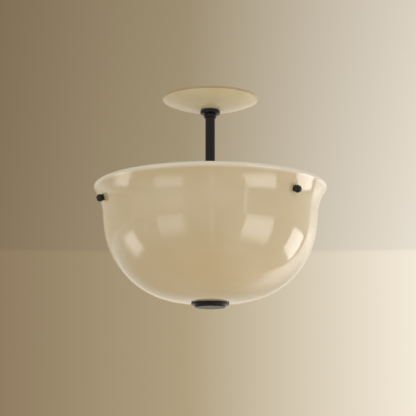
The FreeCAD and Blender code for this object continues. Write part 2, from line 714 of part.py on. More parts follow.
# ================================================================ lamp cluster
def cluster_cup():
    """Drawn can that joins the leads and carries the three lampholders."""
    outer = Part.makeCylinder(CLUSTER_R, CLUSTER_HEIGHT, Vector(0, 0, CLUSTER_LOW_Z))
    outer = round_circle(outer, CLUSTER_R, CLUSTER_LOW_Z, CLUSTER_ROUND)
    inner_r = CLUSTER_R - CLUSTER_WALL
    inner_low = CLUSTER_LOW_Z + CLUSTER_WALL
    inner = Part.makeCylinder(inner_r, CLUSTER_HEIGHT - CLUSTER_WALL, Vector(0, 0, inner_low))
    inner = round_circle(inner, inner_r, inner_low, CLUSTER_ROUND - CLUSTER_WALL)
    cup = outer.cut(inner)
    cup = cup.cut(Part.makeCylinder(PIPE_R + FIT, CLUSTER_WALL, Vector(0, 0, CLUSTER_LOW_Z)))
    for azimuth in LAMP_AZIMUTHS.values():
        hole = Part.makeCylinder(PIPE_R + FIT, HOLDER_START)
        cup = cup.cut(on_lamp_axis(hole, azimuth))
    return cup


def cluster_cover():
    """Lid of the cluster, between the can and the end of the stem."""
    cover = Part.makeCylinder(COVER_R, COVER_THICKNESS, Vector(0, 0, CLUSTER_TOP_Z))
    cover = round_circle(cover, COVER_R, STEM_BOTTOM_Z, COVER_ROUND)
    return cover.cut(Part.makeCylinder(PIPE_R + FIT, COVER_THICKNESS, Vector(0, 0, CLUSTER_TOP_Z)))


def holder_nipples():
    """Short threaded pipes between the can and the lampholders."""
    nipple = pipe(HOLDER_NIPPLE_START, HOLDER_START + HOLDER_NECK)
    return Part.makeCompound([on_lamp_axis(nipple, azimuth) for azimuth in LAMP_AZIMUTHS.values()])


def lampholder():
    """Porcelain body with a narrow neck, a shoulder and a thickened mouth."""
    neck_end = HOLDER_START + HOLDER_NECK
    shoulder_end = neck_end + HOLDER_SHOULDER
    rim_start = HOLDER_MOUTH - HOLDER_RIM
    body = revolve([
        (0, HOLDER_START),
        (HOLDER_NECK_R, HOLDER_START),
        (HOLDER_NECK_R, neck_end),
        (HOLDER_R, shoulder_end),
        (HOLDER_R, rim_start),
        (HOLDER_RIM_R, rim_start),
        (HOLDER_RIM_R, HOLDER_MOUTH),
        (0, HOLDER_MOUTH),
    ])
    body = round_circle(body, HOLDER_RIM_R, HOLDER_MOUTH, HOLDER_ROUND)
    bore = Part.makeCylinder(HOLDER_BORE_R, HOLDER_MOUTH - HOLDER_SEAT, Vector(0, 0, HOLDER_SEAT))
    wire_hole = Part.makeCylinder(PIPE_R + FIT, HOLDER_NECK, Vector(0, 0, HOLDER_START))
    return body.cut(bore).cut(wire_hole)


def screw_shell():
    """Metal shell that the lamp screws into, seated on the porcelain by a rolled foot."""
    foot = ring(HOLDER_BORE_R - FIT, SHELL_BORE_R, SHELL_START, SHELL_START + SHELL_WALL)
    wall = ring(SHELL_BORE_R + SHELL_WALL, SHELL_BORE_R, SHELL_START, SHELL_START + SHELL_LENGTH)
    tail_r = SHELL_BORE_R + SHELL_WALL
    tail = ring(tail_r, SHELL_BORE_R, HOLDER_SEAT, SHELL_START)
    return foot.fuse(wall).fuse(tail)


def centre_contact():
    """Sprung tongue under the lamp's tip."""
    foot_z = HOLDER_SEAT + CONTACT_THICKNESS / 2
    top_z = foot_z + CONTACT_HEIGHT
    path = [
        (CONTACT_REACH, foot_z),
        (-CONTACT_REACH, foot_z),
        (-CONTACT_REACH / 2, top_z),
        (CONTACT_REACH / 2, top_z),
    ]
    return strip(path, 2 * CONTACT_THICKNESS, CONTACT_THICKNESS, CONTACT_WIDTH)


# ================================================================ lamps
def lamp_cap():
    """Screw cap of a lamp, with rounded threads drawn as rings and a contact tip."""
    points = [(0, LAMP_TIP), (CAP_TIP_R, LAMP_TIP), (CAP_ROOT_R, CAP_THREAD_START)]
    for turn in range(CAP_THREADS):
        start = CAP_THREAD_START + turn * CAP_PITCH
        points.append((CAP_R, start + CAP_PITCH * (1 - CAP_CREST) / 2))
        points.append((CAP_R, start + CAP_PITCH * (1 + CAP_CREST) / 2))
        points.append((CAP_ROOT_R, start + CAP_PITCH))
    points.append((CAP_ROOT_R, CAP_END))
    points.append((0, CAP_END))
    return revolve(points)


def envelope(inset):
    """Solid shape of a lamp's glass, moved in by an inset: a ball drawn out to a neck."""
    ball_r = ENVELOPE_R - inset
    neck_r = ENVELOPE_NECK_R - inset
    neck_z = CAP_END + FACE + inset
    tip_z = ENVELOPE_CENTRE + ball_r
    slope_r = math.sin(math.radians(ENVELOPE_FLANK))
    slope_z = math.cos(math.radians(ENVELOPE_FLANK))
    belly_r = ball_r * slope_z
    belly_z = ENVELOPE_CENTRE - ball_r * slope_r
    pull = (belly_z - neck_z) * ENVELOPE_PULL
    start = Vector(belly_r, 0, belly_z)
    end = Vector(neck_r, 0, neck_z)
    flank = Part.BezierCurve()
    flank.setPoles([
        start,
        start - Vector(slope_r, 0, slope_z) * pull,
        end + Vector(0, 0, pull),
        end,
    ])
    edges = [
        arc_edge((0, tip_z), (ball_r, ENVELOPE_CENTRE), (belly_r, belly_z)),
        flank.toShape(),
        line_edge((neck_r, neck_z), (0, neck_z)),
        line_edge((0, neck_z), (0, tip_z)),
    ]
    outline = Part.Wire(Part.__sortEdges__(edges))
    return Part.Face(outline).revolve(Vector(0, 0, 0), Vector(0, 0, 1), 360)


def lamp_glass():
    """Hollow envelope of a lamp."""
    return envelope(0).cut(envelope(ENVELOPE_WALL))


# ================================================================ base of the bowl
def centre_rod():
    """Threaded pipe from the stem's lower bush, through the cluster, to the finial."""
    return pipe(ROD_LOW_Z, STEM_BOTTOM_Z + BUSH_LENGTH)


def rod_nuts():
    """Hex nuts on the rod: one under the cluster and one on the check plate."""
    under_cluster = hexagon(NUT_FLATS, CLUSTER_LOW_Z - NUT_HEIGHT, NUT_HEIGHT, PIPE_R + FIT)
    on_plate = hexagon(NUT_FLATS, CHECK_PLATE_Z + CHECK_PLATE, NUT_HEIGHT, PIPE_R + FIT)
    return Part.makeCompound([under_cluster, on_plate])


def check_plate():
    """Steel disc that presses the seat down on the inside of the glass."""
    plate = ring(CHECK_PLATE_R, PIPE_R + FIT, CHECK_PLATE_Z, CHECK_PLATE_Z + CHECK_PLATE)
    return round_circle(plate, CHECK_PLATE_R, CHECK_PLATE_Z + CHECK_PLATE, CHECK_PLATE / 2)


def bowl_seat():
    """Rubber seat on the inside of the base, with a sleeve down the hole."""
    bore_r = FINIAL_BOSS_R + SEAT_BORE_PLAY
    pad = Part.makeCylinder(SEAT_R, SEAT_THICKNESS, Vector(0, 0, GLASS_INSIDE_Z))
    length = CHECK_PLATE_Z - BOWL_BOTTOM_Z
    sleeve = Part.makeCylinder(CENTRE_HOLE_R - FIT, length, Vector(0, 0, BOWL_BOTTOM_Z))
    bore = Part.makeCylinder(bore_r, length, Vector(0, 0, BOWL_BOTTOM_Z))
    return pad.fuse(sleeve).cut(bore)


def finial_gasket():
    """Soft ring between the finial and the glass."""
    return ring(GASKET_R, GASKET_INNER_R, GASKET_LOW_Z, GASKET_TOP_Z)


def finial_cap():
    """Flanged round cap with a bevelled flat face, screwed up on the end of the centre rod."""
    floor_z = GASKET_LOW_Z - FACE
    flange_low = GASKET_TOP_Z - FINIAL_FLANGE
    recess_r = GASKET_R + SEAT
    body = revolve([
        (0, FINIAL_FACE_Z),
        (FINIAL_FACE_R, FINIAL_FACE_Z),
        (FINIAL_BODY_R, FINIAL_FACE_Z + FINIAL_BEVEL),
        (FINIAL_BODY_R, flange_low),
        (FINIAL_R, flange_low),
        (FINIAL_R, GASKET_TOP_Z),
        (recess_r, GASKET_TOP_Z),
        (recess_r, floor_z),
        (0, floor_z),
    ])
    body = round_circle(body, FINIAL_BODY_R, flange_low, FINIAL_COVE)
    body = round_circle(body, FINIAL_R, flange_low, FINIAL_FLANGE_ROUND)
    body = round_circle(body, FINIAL_R, GASKET_TOP_Z, FINIAL_FLANGE_ROUND)
    boss = Part.makeCylinder(FINIAL_BOSS_R, FINIAL_BOSS_Z - FINIAL_FACE_Z, Vector(0, 0, FINIAL_FACE_Z))
    tapped_low = FINIAL_FACE_Z + FINIAL_BLIND
    tapped = Part.makeCylinder(PIPE_R + RUNNING, FINIAL_BOSS_Z - tapped_low, Vector(0, 0, tapped_low))
    return body.fuse(boss).cut(tapped)


# ================================================================ all the pieces
def build():
    """Every named piece of the light, at rest."""
    pieces = {
        "crossbar": crossbar(),
        "ground_screw": ground_screw(),
        "ceiling_nipple": ceiling_nipple(),
        "crossbar_nuts": crossbar_nuts(),
        "lock_washers": lock_washers(),
        "stem": stem(),
        "stem_top_bush": stem_bush(STEM_TOP_Z - BUSH_LENGTH),
        "stem_lower_bush": stem_bush(STEM_BOTTOM_Z),
        "canopy": canopy(),
        "canopy_felt": canopy_felt(),
        "canopy_collar": canopy_collar(),
        "collar_set_screw": collar_set_screw(),
        "glass_bowl": glass_bowl(),
        "side_grommets": side_grommets(),
        "spider_hub": spider_hub(),
        "hub_set_screw": hub_set_screw(),
        "arm_screws": arm_screws(),
        "weld_nuts": weld_nuts(),
        "cluster_cup": cluster_cup(),
        "cluster_cover": cluster_cover(),
        "holder_nipples": holder_nipples(),
        "centre_rod": centre_rod(),
        "rod_nuts": rod_nuts(),
        "check_plate": check_plate(),
        "bowl_seat": bowl_seat(),
        "finial_gasket": finial_gasket(),
        "finial_cap": finial_cap(),
    }
    for place, azimuth in KNOB_AZIMUTHS.items():
        pieces["spider_arm_" + place] = spider_arm(azimuth)
        pieces["knob_washer_" + place] = on_knob_axis(knob_washer(), azimuth)
        pieces["knob_screw_" + place] = on_knob_axis(knob_screw(), azimuth)
        pieces["knob_" + place] = on_knob_axis(knob_head(), azimuth)
    for place, azimuth in LAMP_AZIMUTHS.items():
        pieces["lampholder_" + place] = on_lamp_axis(lampholder(), azimuth)
        pieces["screw_shell_" + place] = on_lamp_axis(screw_shell(), azimuth)
        pieces["centre_contact_" + place] = on_lamp_axis(centre_contact(), azimuth)
        pieces["lamp_cap_" + place] = on_lamp_axis(lamp_cap(), azimuth)
        pieces["lamp_glass_" + place] = on_lamp_axis(lamp_glass(), azimuth)
    return pieces


def main():
    """Writes one STEP file for each piece."""
    os.makedirs("parts", exist_ok=True)
    for name, shape in build().items():
        shape.exportStep(os.path.join("parts", name + ".step"))


main()
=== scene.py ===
"""Looks of a semi flush ceiling light: cased glass bowl, bronze stem and enamelled canopy.

Metres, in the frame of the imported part.  The origin is on the stem's axis in the plane of
the ceiling, +Z points up and the front of the light is -Y.  Outlines, threads and finishes
are given in millimetres, as a workshop drawing gives them.
"""
import logging
import math
from dataclasses import dataclass
from enum import Enum

import bpy
from mathutils import Matrix, Vector


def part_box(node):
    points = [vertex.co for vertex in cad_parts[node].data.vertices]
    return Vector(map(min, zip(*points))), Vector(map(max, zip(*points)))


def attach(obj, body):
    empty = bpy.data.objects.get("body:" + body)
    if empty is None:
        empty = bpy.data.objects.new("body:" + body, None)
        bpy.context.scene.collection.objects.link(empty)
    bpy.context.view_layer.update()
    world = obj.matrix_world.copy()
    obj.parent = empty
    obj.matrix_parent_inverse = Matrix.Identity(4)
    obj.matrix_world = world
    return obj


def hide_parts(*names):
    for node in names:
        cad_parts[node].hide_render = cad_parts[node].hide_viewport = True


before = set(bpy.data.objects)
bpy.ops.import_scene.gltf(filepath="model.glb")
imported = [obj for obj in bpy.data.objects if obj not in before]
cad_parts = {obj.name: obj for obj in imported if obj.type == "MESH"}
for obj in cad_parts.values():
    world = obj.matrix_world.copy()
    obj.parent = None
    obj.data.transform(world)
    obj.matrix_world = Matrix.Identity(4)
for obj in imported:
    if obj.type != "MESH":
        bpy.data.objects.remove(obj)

LOG = logging.getLogger("ceiling_light")
MM = 0.001
MIX_FIRST, MIX_SECOND, MIX_RESULT = 6, 7, 2     # a mix node's colour sockets
WELD_DISTANCE = MM / 100                        # points closer than this are one point
CRISP_ANGLE = 35.0                              # degrees from which an edge stays crisp
ROLLED_ANGLE = 50.0                             # the same on rolled and poured shapes
CUT_PAST = 1.0                                  # how far a cutter stands out of an end

Outline = tuple[tuple[float, float], ...]
Socket = bpy.types.NodeSocket
Tree = bpy.types.NodeTree


# ---------------------------------------------------------------- small helpers
def linear(hex_colour: str) -> tuple[float, float, float, float]:
    """Turns an sRGB colour into the linear values that shaders take.

    Args:
        hex_colour: Six hex digits after a hash sign.

    Returns:
        Red, green, blue and an alpha of 1.
    """
    channels = []
    for start in (1, 3, 5):
        value = int(hex_colour[start:start + 2], 16) / 255
        low = value / 12.92
        high = ((value + 0.055) / 1.055) ** 2.4
        channels.append(low if value <= 0.04045 else high)
    return channels[0], channels[1], channels[2], 1.0


def add_node(
    tree: Tree,
    kind: str,
    settings: dict | None = None,
    inputs: dict | None = None,
    links: dict | None = None,
) -> bpy.types.Node:
    """Adds a shader node with its settings, constant inputs and incoming links.

    Args:
        tree: Node tree that the node joins.
        kind: Blender's name of the node type.
        settings: Attributes set on the node itself.
        inputs: Constant values by socket name or index.
        links: Source sockets by socket name or index.

    Returns:
        The new node.
    """
    node = tree.nodes.new(kind)
    for name, value in (settings or {}).items():
        setattr(node, name, value)
    for name, value in (inputs or {}).items():
        node.inputs[name].default_value = value
    for name, source in (links or {}).items():
        tree.links.new(source, node.inputs[name])
    return node


def deselect_all() -> None:
    """Leaves nothing selected, so that an operator acts on the new piece alone."""
    if bpy.context.object and bpy.context.object.mode != "OBJECT":
        bpy.ops.object.mode_set(mode="OBJECT")
    bpy.ops.object.select_all(action="DESELECT")


def pick(piece: bpy.types.Object) -> None:
    """Makes a piece the active one and the only one selected.

    Args:
        piece: Mesh object that the next operator acts on.
    """
    deselect_all()
    bpy.context.view_layer.objects.active = piece
    piece.select_set(True)


def take_new_object(name: str) -> bpy.types.Object:
    """Names the object that an add operator has just made.

    Args:
        name: Name of the piece.

    Returns:
        The active object, renamed.
    """
    piece = bpy.context.object
    piece.name = name
    piece.data.name = name
    return piece


def apply_modifier(piece: bpy.types.Object, kind: str, settings: dict) -> None:
    """Puts a modifier on a piece and applies it at once.

    Args:
        piece: Mesh object to change.
        kind: Blender's name of the modifier type.
        settings: Attributes set on the modifier.
    """
    pick(piece)
    modifier = piece.modifiers.new(kind.lower(), kind)
    for name, value in settings.items():
        setattr(modifier, name, value)
    bpy.ops.object.modifier_apply(modifier=modifier.name)


def smooth(piece: bpy.types.Object, degrees: float = CRISP_ANGLE) -> None:
    """Shades a piece smooth, with edges sharper than an angle left crisp.

    Args:
        piece: Mesh object to shade.
        degrees: Angle between two faces from which their edge stays sharp.
    """
    pick(piece)
    bpy.ops.object.shade_smooth_by_angle(angle=math.radians(degrees))


def weld(piece: bpy.types.Object) -> None:
    """Merges doubles and turns every face outwards.

    Args:
        piece: Mesh object to clean.
    """
    pick(piece)
    bpy.ops.object.mode_set(mode="EDIT")
    bpy.ops.mesh.select_all(action="SELECT")
    bpy.ops.mesh.remove_doubles(threshold=WELD_DISTANCE)
    bpy.ops.mesh.normals_make_consistent(inside=False)
    bpy.ops.object.mode_set(mode="OBJECT")


def traced_outline(name: str, outline: Outline) -> bpy.types.Object:
    """Draws an outline in the XZ plane by extruding one vertex from point to point.

    Args:
        name: Name of the piece.
        outline: (radius, height) points in millimetres, in order.

    Returns:
        The new mesh object, a row of edges.
    """
    points = [(radius * MM, height * MM) for radius, height in outline]
    deselect_all()
    bpy.ops.mesh.primitive_plane_add(size=MM)
    piece = take_new_object(name)
    bpy.ops.object.mode_set(mode="EDIT")
    bpy.ops.mesh.select_all(action="SELECT")
    bpy.ops.mesh.merge(type="CENTER")
    last_radius, last_height = points[0]
    bpy.ops.transform.translate(value=(last_radius, 0, last_height))
    for radius, height in points[1:]:
        step = (radius - last_radius, 0, height - last_height)
        bpy.ops.mesh.extrude_vertices_move(TRANSFORM_OT_translate={"value": step})
        last_radius, last_height = radius, height
    bpy.ops.object.mode_set(mode="OBJECT")
    return piece


def turned_piece(
    name: str,
    outline: Outline,
    steps: int = 48,
    rise: float = 0.0,
    turns: int = 1,
) -> bpy.types.Object:
    """Turns an outline about the Z axis into a round or helical surface.

    Args:
        name: Name of the piece.
        outline: (radius, height) points in millimetres, in order.
        steps: Straight sides in one full turn.
        rise: Climb of one turn in millimetres, for a thread.
        turns: How many turns the surface takes.

    Returns:
        The new mesh object, with its doubles merged.
    """
    piece = traced_outline(name, outline)
    apply_modifier(piece, "SCREW", {
        "angle": 2 * math.pi,
        "screw_offset": rise * MM,
        "iterations": turns,
        "steps": steps,
        "render_steps": steps,
        "use_merge_vertices": True,
        "merge_threshold": WELD_DISTANCE,
        "use_normal_calculate": True,
    })
    weld(piece)
    return piece


def cut_ends(piece: bpy.types.Object, low: float, high: float, closed: bool) -> None:
    """Cuts a piece off flat at two heights.

    Args:
        piece: Mesh object about the Z axis.
        low: Height of the lower cut in millimetres.
        high: Height of the upper cut in millimetres.
        closed: Whether the cuts get end faces.
    """
    pick(piece)
    bpy.ops.object.mode_set(mode="EDIT")
    for height, direction in ((low, -1), (high, 1)):
        bpy.ops.mesh.select_all(action="SELECT")
        bpy.ops.mesh.bisect(
            plane_co=(0, 0, height * MM),
            plane_no=(0, 0, direction),
            use_fill=closed,
            clear_outer=True,
        )
    bpy.ops.object.mode_set(mode="OBJECT")
    weld(piece)


def drill(piece: bpy.types.Object, radius: float, low: float, high: float, sides: int) -> None:
    """Cuts a round or six-sided hole along the Z axis.

    Args:
        piece: Mesh object about the Z axis.
        radius: Radius of the hole to its corners in millimetres.
        low: Height where the hole starts in millimetres.
        high: Height where it ends in millimetres.
        sides: Number of its sides.
    """
    deselect_all()
    bpy.ops.mesh.primitive_cylinder_add(
        vertices=sides,
        radius=radius * MM,
        depth=(high - low) * MM,
        location=(0, 0, (low + high) / 2 * MM),
    )
    cutter = take_new_object("cutter")
    bpy.ops.object.transform_apply(location=True, rotation=True, scale=True)
    apply_modifier(piece, "BOOLEAN", {
        "object": cutter, "operation": "DIFFERENCE", "solver": "EXACT",
    })
    bpy.data.objects.remove(cutter)


def copy_piece(piece: bpy.types.Object, name: str, place: Matrix) -> bpy.types.Object:
    """Makes a copy with a mesh of its own and puts its place into that mesh.

    Args:
        piece: Mesh object modelled about the Z axis.
        name: Name of the copy.
        place: Where the copy goes.

    Returns:
        The placed copy.
    """
    copy = bpy.data.objects.new(name, piece.data.copy())
    copy.data.name = name
    copy.data.transform(place)
    bpy.context.scene.collection.objects.link(copy)
    return copy


# ---------------------------------------------------------------- finishes
def clouds(
    tree: Tree,
    size: float,
    span: tuple[float, float] = (0.0, 1.0),
    target: tuple[float, float] = (0.0, 1.0),
    detail: float = 3.0,
) -> Socket:
    """A cloud pattern whose clumps are about a size across.

    Args:
        tree: Node tree of the material.
        size: Width of a clump in millimetres.
        span: Lowest and highest value of the noise that count.
        target: What those two values become.
        detail: Octaves of finer clumps.

    Returns:
        The pattern's socket.
    """
    place = add_node(tree, "ShaderNodeTexCoord")
    noise = add_node(
        tree, "ShaderNodeTexNoise",
        inputs={"Scale": 1 / (size * MM), "Detail": detail},
        links={"Vector": place.outputs["Object"]},
    )
    fitted = add_node(
        tree, "ShaderNodeMapRange",
        inputs={
            "From Min": span[0], "From Max": span[1], "To Min": target[0], "To Max": target[1],
        },
        links={"Value": noise.outputs["Fac"]},
    )
    return fitted.outputs["Result"]


def height_share(tree: Tree, heights: tuple[float, float]) -> Socket:
    """A share that climbs from 0 to 1 between two heights of the light.

    Args:
        tree: Node tree of the material.
        heights: The two heights in millimetres.

    Returns:
        The share's socket.
    """
    place = add_node(tree, "ShaderNodeTexCoord")
    axes = add_node(tree, "ShaderNodeSeparateXYZ", links={"Vector": place.outputs["Object"]})
    share = add_node(
        tree, "ShaderNodeMapRange",
        inputs={"From Min": heights[0] * MM, "From Max": heights[1] * MM},
        links={"Value": axes.outputs["Z"]},
    )
    return share.outputs["Result"]


@dataclass(frozen=True)
class Finish:
    """A plain finish: two close shades in soft clouds, and a fine bump.

    Every length is in millimetres.  A roughness and its spread stay clear of 0.27: the
    renderer's denoiser treats glossy and dull surfaces apart there, and a pattern that
    crosses it leaves specks.
    """

    name: str
    slot: str
    colour: str
    second: str
    roughness: float
    metallic: float = 0.0
    ior: float = 1.5
    specular: float = 0.5
    coat: float = 0.0
    coat_roughness: float = 0.1
    sheen: float = 0.0
    sheen_roughness: float = 0.3
    sheen_tint: str = "#FFF6DC"
    glow: float = 0.0
    glow_depth: float = 1.0
    glow_reach: tuple[float, float, float] = (1.0, 0.85, 0.65)
    mottle_size: float = 20.0
    mottle_span: tuple[float, float] = (0.35, 0.65)
    grain_size: float = 0.8
    grain_depth: float = 0.01
    grain_detail: float = 2.0
    uneven: float = 0.04
    uneven_span: tuple[float, float] = (0.3, 0.7)

    def overlays(self, tree: Tree) -> list[tuple[Socket, str]]:
        """Shades laid over the clouds, each after the share of it that shows.

        Args:
            tree: Node tree of the material.

        Returns:
            Pairs of a share's socket and a colour, lowest first.
        """
        return []

    def colour_socket(self, tree: Tree) -> Socket:
        """Colour of the surface: two close shades in soft clouds, under its overlays.

        Args:
            tree: Node tree of the material.

        Returns:
            The colour's socket.
        """
        mottle = clouds(tree, self.mottle_size, self.mottle_span)
        colour = add_node(
            tree, "ShaderNodeMix", {"data_type": "RGBA"},
            inputs={MIX_FIRST: linear(self.colour), MIX_SECOND: linear(self.second)},
            links={"Factor": mottle},
        ).outputs[MIX_RESULT]
        for share, shade in self.overlays(tree):
            colour = add_node(
                tree, "ShaderNodeMix", {"data_type": "RGBA"},
                inputs={MIX_SECOND: linear(shade)},
                links={"Factor": share, MIX_FIRST: colour},
            ).outputs[MIX_RESULT]
        return colour

    def roughness_socket(self, tree: Tree) -> Socket:
        """Roughness that wanders a little, as handling and making leave it.

        Args:
            tree: Node tree of the material.

        Returns:
            The roughness's socket.
        """
        reach = (self.roughness - self.uneven, self.roughness + self.uneven)
        return clouds(tree, self.mottle_size / 2, self.uneven_span, reach)

    def height_socket(self, tree: Tree) -> Socket:
        """Fine relief of the surface.

        Args:
            tree: Node tree of the material.

        Returns:
            The height's socket.
        """
        return clouds(tree, self.grain_size, detail=self.grain_detail)

    def material(self) -> bpy.types.Material:
        """The finish as a material, made once and then shared.

        Returns:
            The material.
        """
        made = bpy.data.materials.get(self.name)
        if made:
            return made
        made = bpy.data.materials.new(self.name)
        made.use_nodes = True
        tree = made.node_tree
        tree.nodes.clear()
        bump = add_node(
            tree, "ShaderNodeBump",
            inputs={"Strength": 1.0, "Distance": self.grain_depth * MM},
            links={"Height": self.height_socket(tree)},
        )
        constants = {
            "Metallic": self.metallic,
            "Specular IOR Level": self.specular,
            "Coat Weight": self.coat,
            "Coat Roughness": self.coat_roughness,
            "Sheen Weight": self.sheen,
            "Sheen Roughness": self.sheen_roughness,
            "Sheen Tint": linear(self.sheen_tint),
            "Subsurface Weight": self.glow,
            "Subsurface Radius": self.glow_reach,
            "Subsurface Scale": self.glow_depth * MM,
        }
        if not self.metallic:
            constants["IOR"] = self.ior
        shader = add_node(
            tree, "ShaderNodeBsdfPrincipled",
            inputs=constants,
            links={
                "Base Color": self.colour_socket(tree),
                "Roughness": self.roughness_socket(tree),
                "Normal": bump.outputs["Normal"],
            },
        )
        add_node(tree, "ShaderNodeOutputMaterial", links={"Surface": shader.outputs["BSDF"]})
        return made


@dataclass(frozen=True)
class CasedGlass(Finish):
    """Blown opal glass cased in clear: ivory in depth, glossy, a little wavy."""

    # The rolled lip is paler: partly its thicker clear casing, partly painted light the bead
    # catches.
    lip_colour: str = "#D2CBB7"
    lip_heights: tuple[float, float] = (-166.0, -162.0)
    inner_colour: str = "#D8D0BB"

    def overlays(self, tree: Tree) -> list[tuple[Socket, str]]:
        """Paler inside, where a face looks back at the stem, and where the lip is rolled.

        The lip's paler shade is partly its thicker clear casing and partly painted light, the
        brightness that the rolled bead catches and lets through.
        """
        place = add_node(tree, "ShaderNodeTexCoord")
        shape = add_node(tree, "ShaderNodeNewGeometry")
        facing = add_node(
            tree, "ShaderNodeVectorMath", {"operation": "DOT_PRODUCT"},
            links={0: place.outputs["Object"], 1: shape.outputs["Normal"]},
        )
        inside = add_node(
            tree, "ShaderNodeMapRange",
            inputs={"From Min": 0, "From Max": -MM},
            links={"Value": facing.outputs["Value"]},
        )
        return [
            (inside.outputs["Result"], self.inner_colour),
            (height_share(tree, self.lip_heights), self.lip_colour),
        ]


@dataclass(frozen=True)
class Enamel(Finish):
    """Sprayed enamel on spun steel, with the faint dimples of its flow."""

    # Darker band on the upright edge: deeper gold, partly painted shade.
    edge_shade_colour: str = "#A48C5E"
    edge_heights: tuple[float, float] = (-3.8, -2.9)

    def overlays(self, tree: Tree) -> list[tuple[Socket, str]]:
        """The upright edge darker, in deeper gold: partly painted shade where it faces
        sideways.
        """
        return [(height_share(tree, self.edge_heights), self.edge_shade_colour)]


@dataclass(frozen=True)
class Worn(Finish):
    """Lacquered dark bronze, rubbed a shade lighter in small patches."""

    rubbed: str = "#2E231C"
    rubbed_size: float = 2.5
    rubbed_detail: float = 6.0
    rubbed_span: tuple[float, float] = (0.62, 0.78)
    rubbed_most: float = 0.6

    def overlays(self, tree: Tree) -> list[tuple[Socket, str]]:
        """Sparse warm rubs."""
        most = (0.0, self.rubbed_most)
        rubs = clouds(tree, self.rubbed_size, self.rubbed_span, most, self.rubbed_detail)
        return [(rubs, self.rubbed)]


@dataclass(frozen=True)
class Felt(Finish):
    """Pressed wool felt: matt, with fibres lying every way."""

    fibre_stretch: tuple[float, float, float] = (1.0, 0.25, 1.0)
    fibre_detail: float = 6.0
    fibre_curl: float = 2.0

    def height_socket(self, tree: Tree) -> Socket:
        """Fibres as stretched and curled clouds."""
        place = add_node(tree, "ShaderNodeTexCoord")
        stretch = add_node(
            tree, "ShaderNodeMapping",
            inputs={"Scale": self.fibre_stretch},
            links={"Vector": place.outputs["Object"]},
        )
        fibres = add_node(
            tree, "ShaderNodeTexNoise",
            inputs={
                "Scale": 1 / (self.grain_size * MM),
                "Detail": self.fibre_detail,
                "Distortion": self.fibre_curl,
            },
            links={"Vector": stretch.outputs["Vector"]},
        )
        return fibres.outputs["Fac"]


# The eye sees a quiet ivory under deep gloss, and slow waves in its reflections.
IVORY_GLASS = CasedGlass(
    "ivory_cased_glass", "cased_glass", "#C4B392", "#C0AE8B", 0.14,
    ior=1.52, coat=1.0, coat_roughness=0.03, sheen=0.4, sheen_tint="#F0E2B4",
    glow=0.2, glow_depth=3.0, mottle_size=70, mottle_span=(0.3, 0.7),
    grain_size=28, grain_depth=0.2, uneven=0.03,
)
# A soft satin cream; close to, the flow of the enamel shows as shallow dimples.
CREAM_ENAMEL = Enamel(
    "cream_stove_enamel", "cream_enamel", "#E3D4B0", "#DDCCA5", 0.35,
    coat=0.5, coat_roughness=0.06, sheen=0.5, mottle_size=40, grain_size=25, grain_depth=0.05,
)
# Nearly black, with a dull shine; brown only where the tube has been rubbed.
DARK_BRONZE = Worn(
    "oil_rubbed_bronze", "dark_bronze", "#140F0E", "#0F0B0A", 0.33,
    specular=0.2, coat=0.08, mottle_size=12, grain_size=0.9, grain_depth=0.006,
)
# The turned knobs are handled, so they shine more than the tube.
KNOB_BRONZE = Worn(
    "polished_black_bronze", "dark_bronze", "#0C0B0D", "#080809", 0.16,
    specular=0.2, coat=0.35, coat_roughness=0.04, mottle_size=5,
    grain_size=0.9, grain_depth=0.003,
)
# Bright passivated zinc: cool grey with spangles.
ZINC = Finish(
    "zinc_plated_steel", "zinc_steel", "#B4B8BA", "#9EA3A5", 0.36,
    metallic=1.0, mottle_size=5, grain_size=0.5, grain_depth=0.006, uneven=0.07,
)
# The earth screw is dyed green over zinc.
GREEN_ZINC = Finish(
    "green_dyed_zinc", "ground_green", "#2E7A4A", "#246A3E", 0.35,
    metallic=0.8, mottle_size=2, grain_size=0.4, grain_depth=0.004,
)
# Baked brown paint on the hidden steelwork, with a slight texture.
BROWN_PAINT = Finish(
    "brown_baked_paint", "bronze_spider", "#3A2E25", "#33281F", 0.45,
    mottle_size=15, grain_size=1.2, grain_depth=0.02,
)
# White stove enamel throws the lamps' light back.
WHITE_ENAMEL = Finish(
    "white_stove_enamel", "white_enamel", "#E9E6DC", "#E1DDD0", 0.34,
    coat=0.3, mottle_size=30, grain_size=2.5, grain_depth=0.015,
)
# Grey brown wool felt under the collar, pale where loose fibres catch the light.
WOOL_FELT = Felt(
    "wool_felt", "felt", "#5A5247", "#4A4339", 0.95,
    sheen=0.6, sheen_roughness=0.5, mottle_size=3, grain_size=0.6, grain_depth=0.15,
    uneven=0.03,
)
# Moulded rubber: dull black with a bloom of grey.
RUBBER = Finish(
    "moulded_rubber", "black_rubber", "#242322", "#302F2D", 0.7,
    mottle_size=6, grain_size=0.5,
)
# Glazed electrical porcelain: a cold white with a wet shine.
PORCELAIN = Finish(
    "glazed_porcelain", "porcelain", "#ECEAE3", "#E4E1D7", 0.15,
    ior=1.54, coat=0.5, mottle_size=10, grain_size=4, grain_depth=0.03,
)
# Rolled brass inside the holder: warm yellow, lightly brushed by the rolls.
BRASS = Finish(
    "rolled_brass", "shell_brass", "#C9A45C", "#BA9450", 0.22,
    metallic=1.0, mottle_size=6, grain_size=0.4, grain_depth=0.004,
)
# Nickel plate on the lamp's cap: a soft grey gleam.
NICKEL = Finish(
    "nickel_plated_cap", "lamp_nickel", "#C3C1BB", "#AEACA6", 0.22,
    metallic=1.0, mottle_size=4, grain_size=0.4, grain_depth=0.004,
)
# Black insulating glass under the cap, with a wet gleam.
VITRITE = Finish(
    "black_insulator_glass", "lamp_nickel", "#151517", "#1B1B1E", 0.2, mottle_size=4,
)
# The drop of solder at the cap's tip: dull grey and lumpy.
SOLDER = Finish(
    "solder", "lamp_nickel", "#A9AAAA", "#8E9091", 0.4,
    metallic=1.0, mottle_size=2, grain_size=0.6, grain_depth=0.02,
)
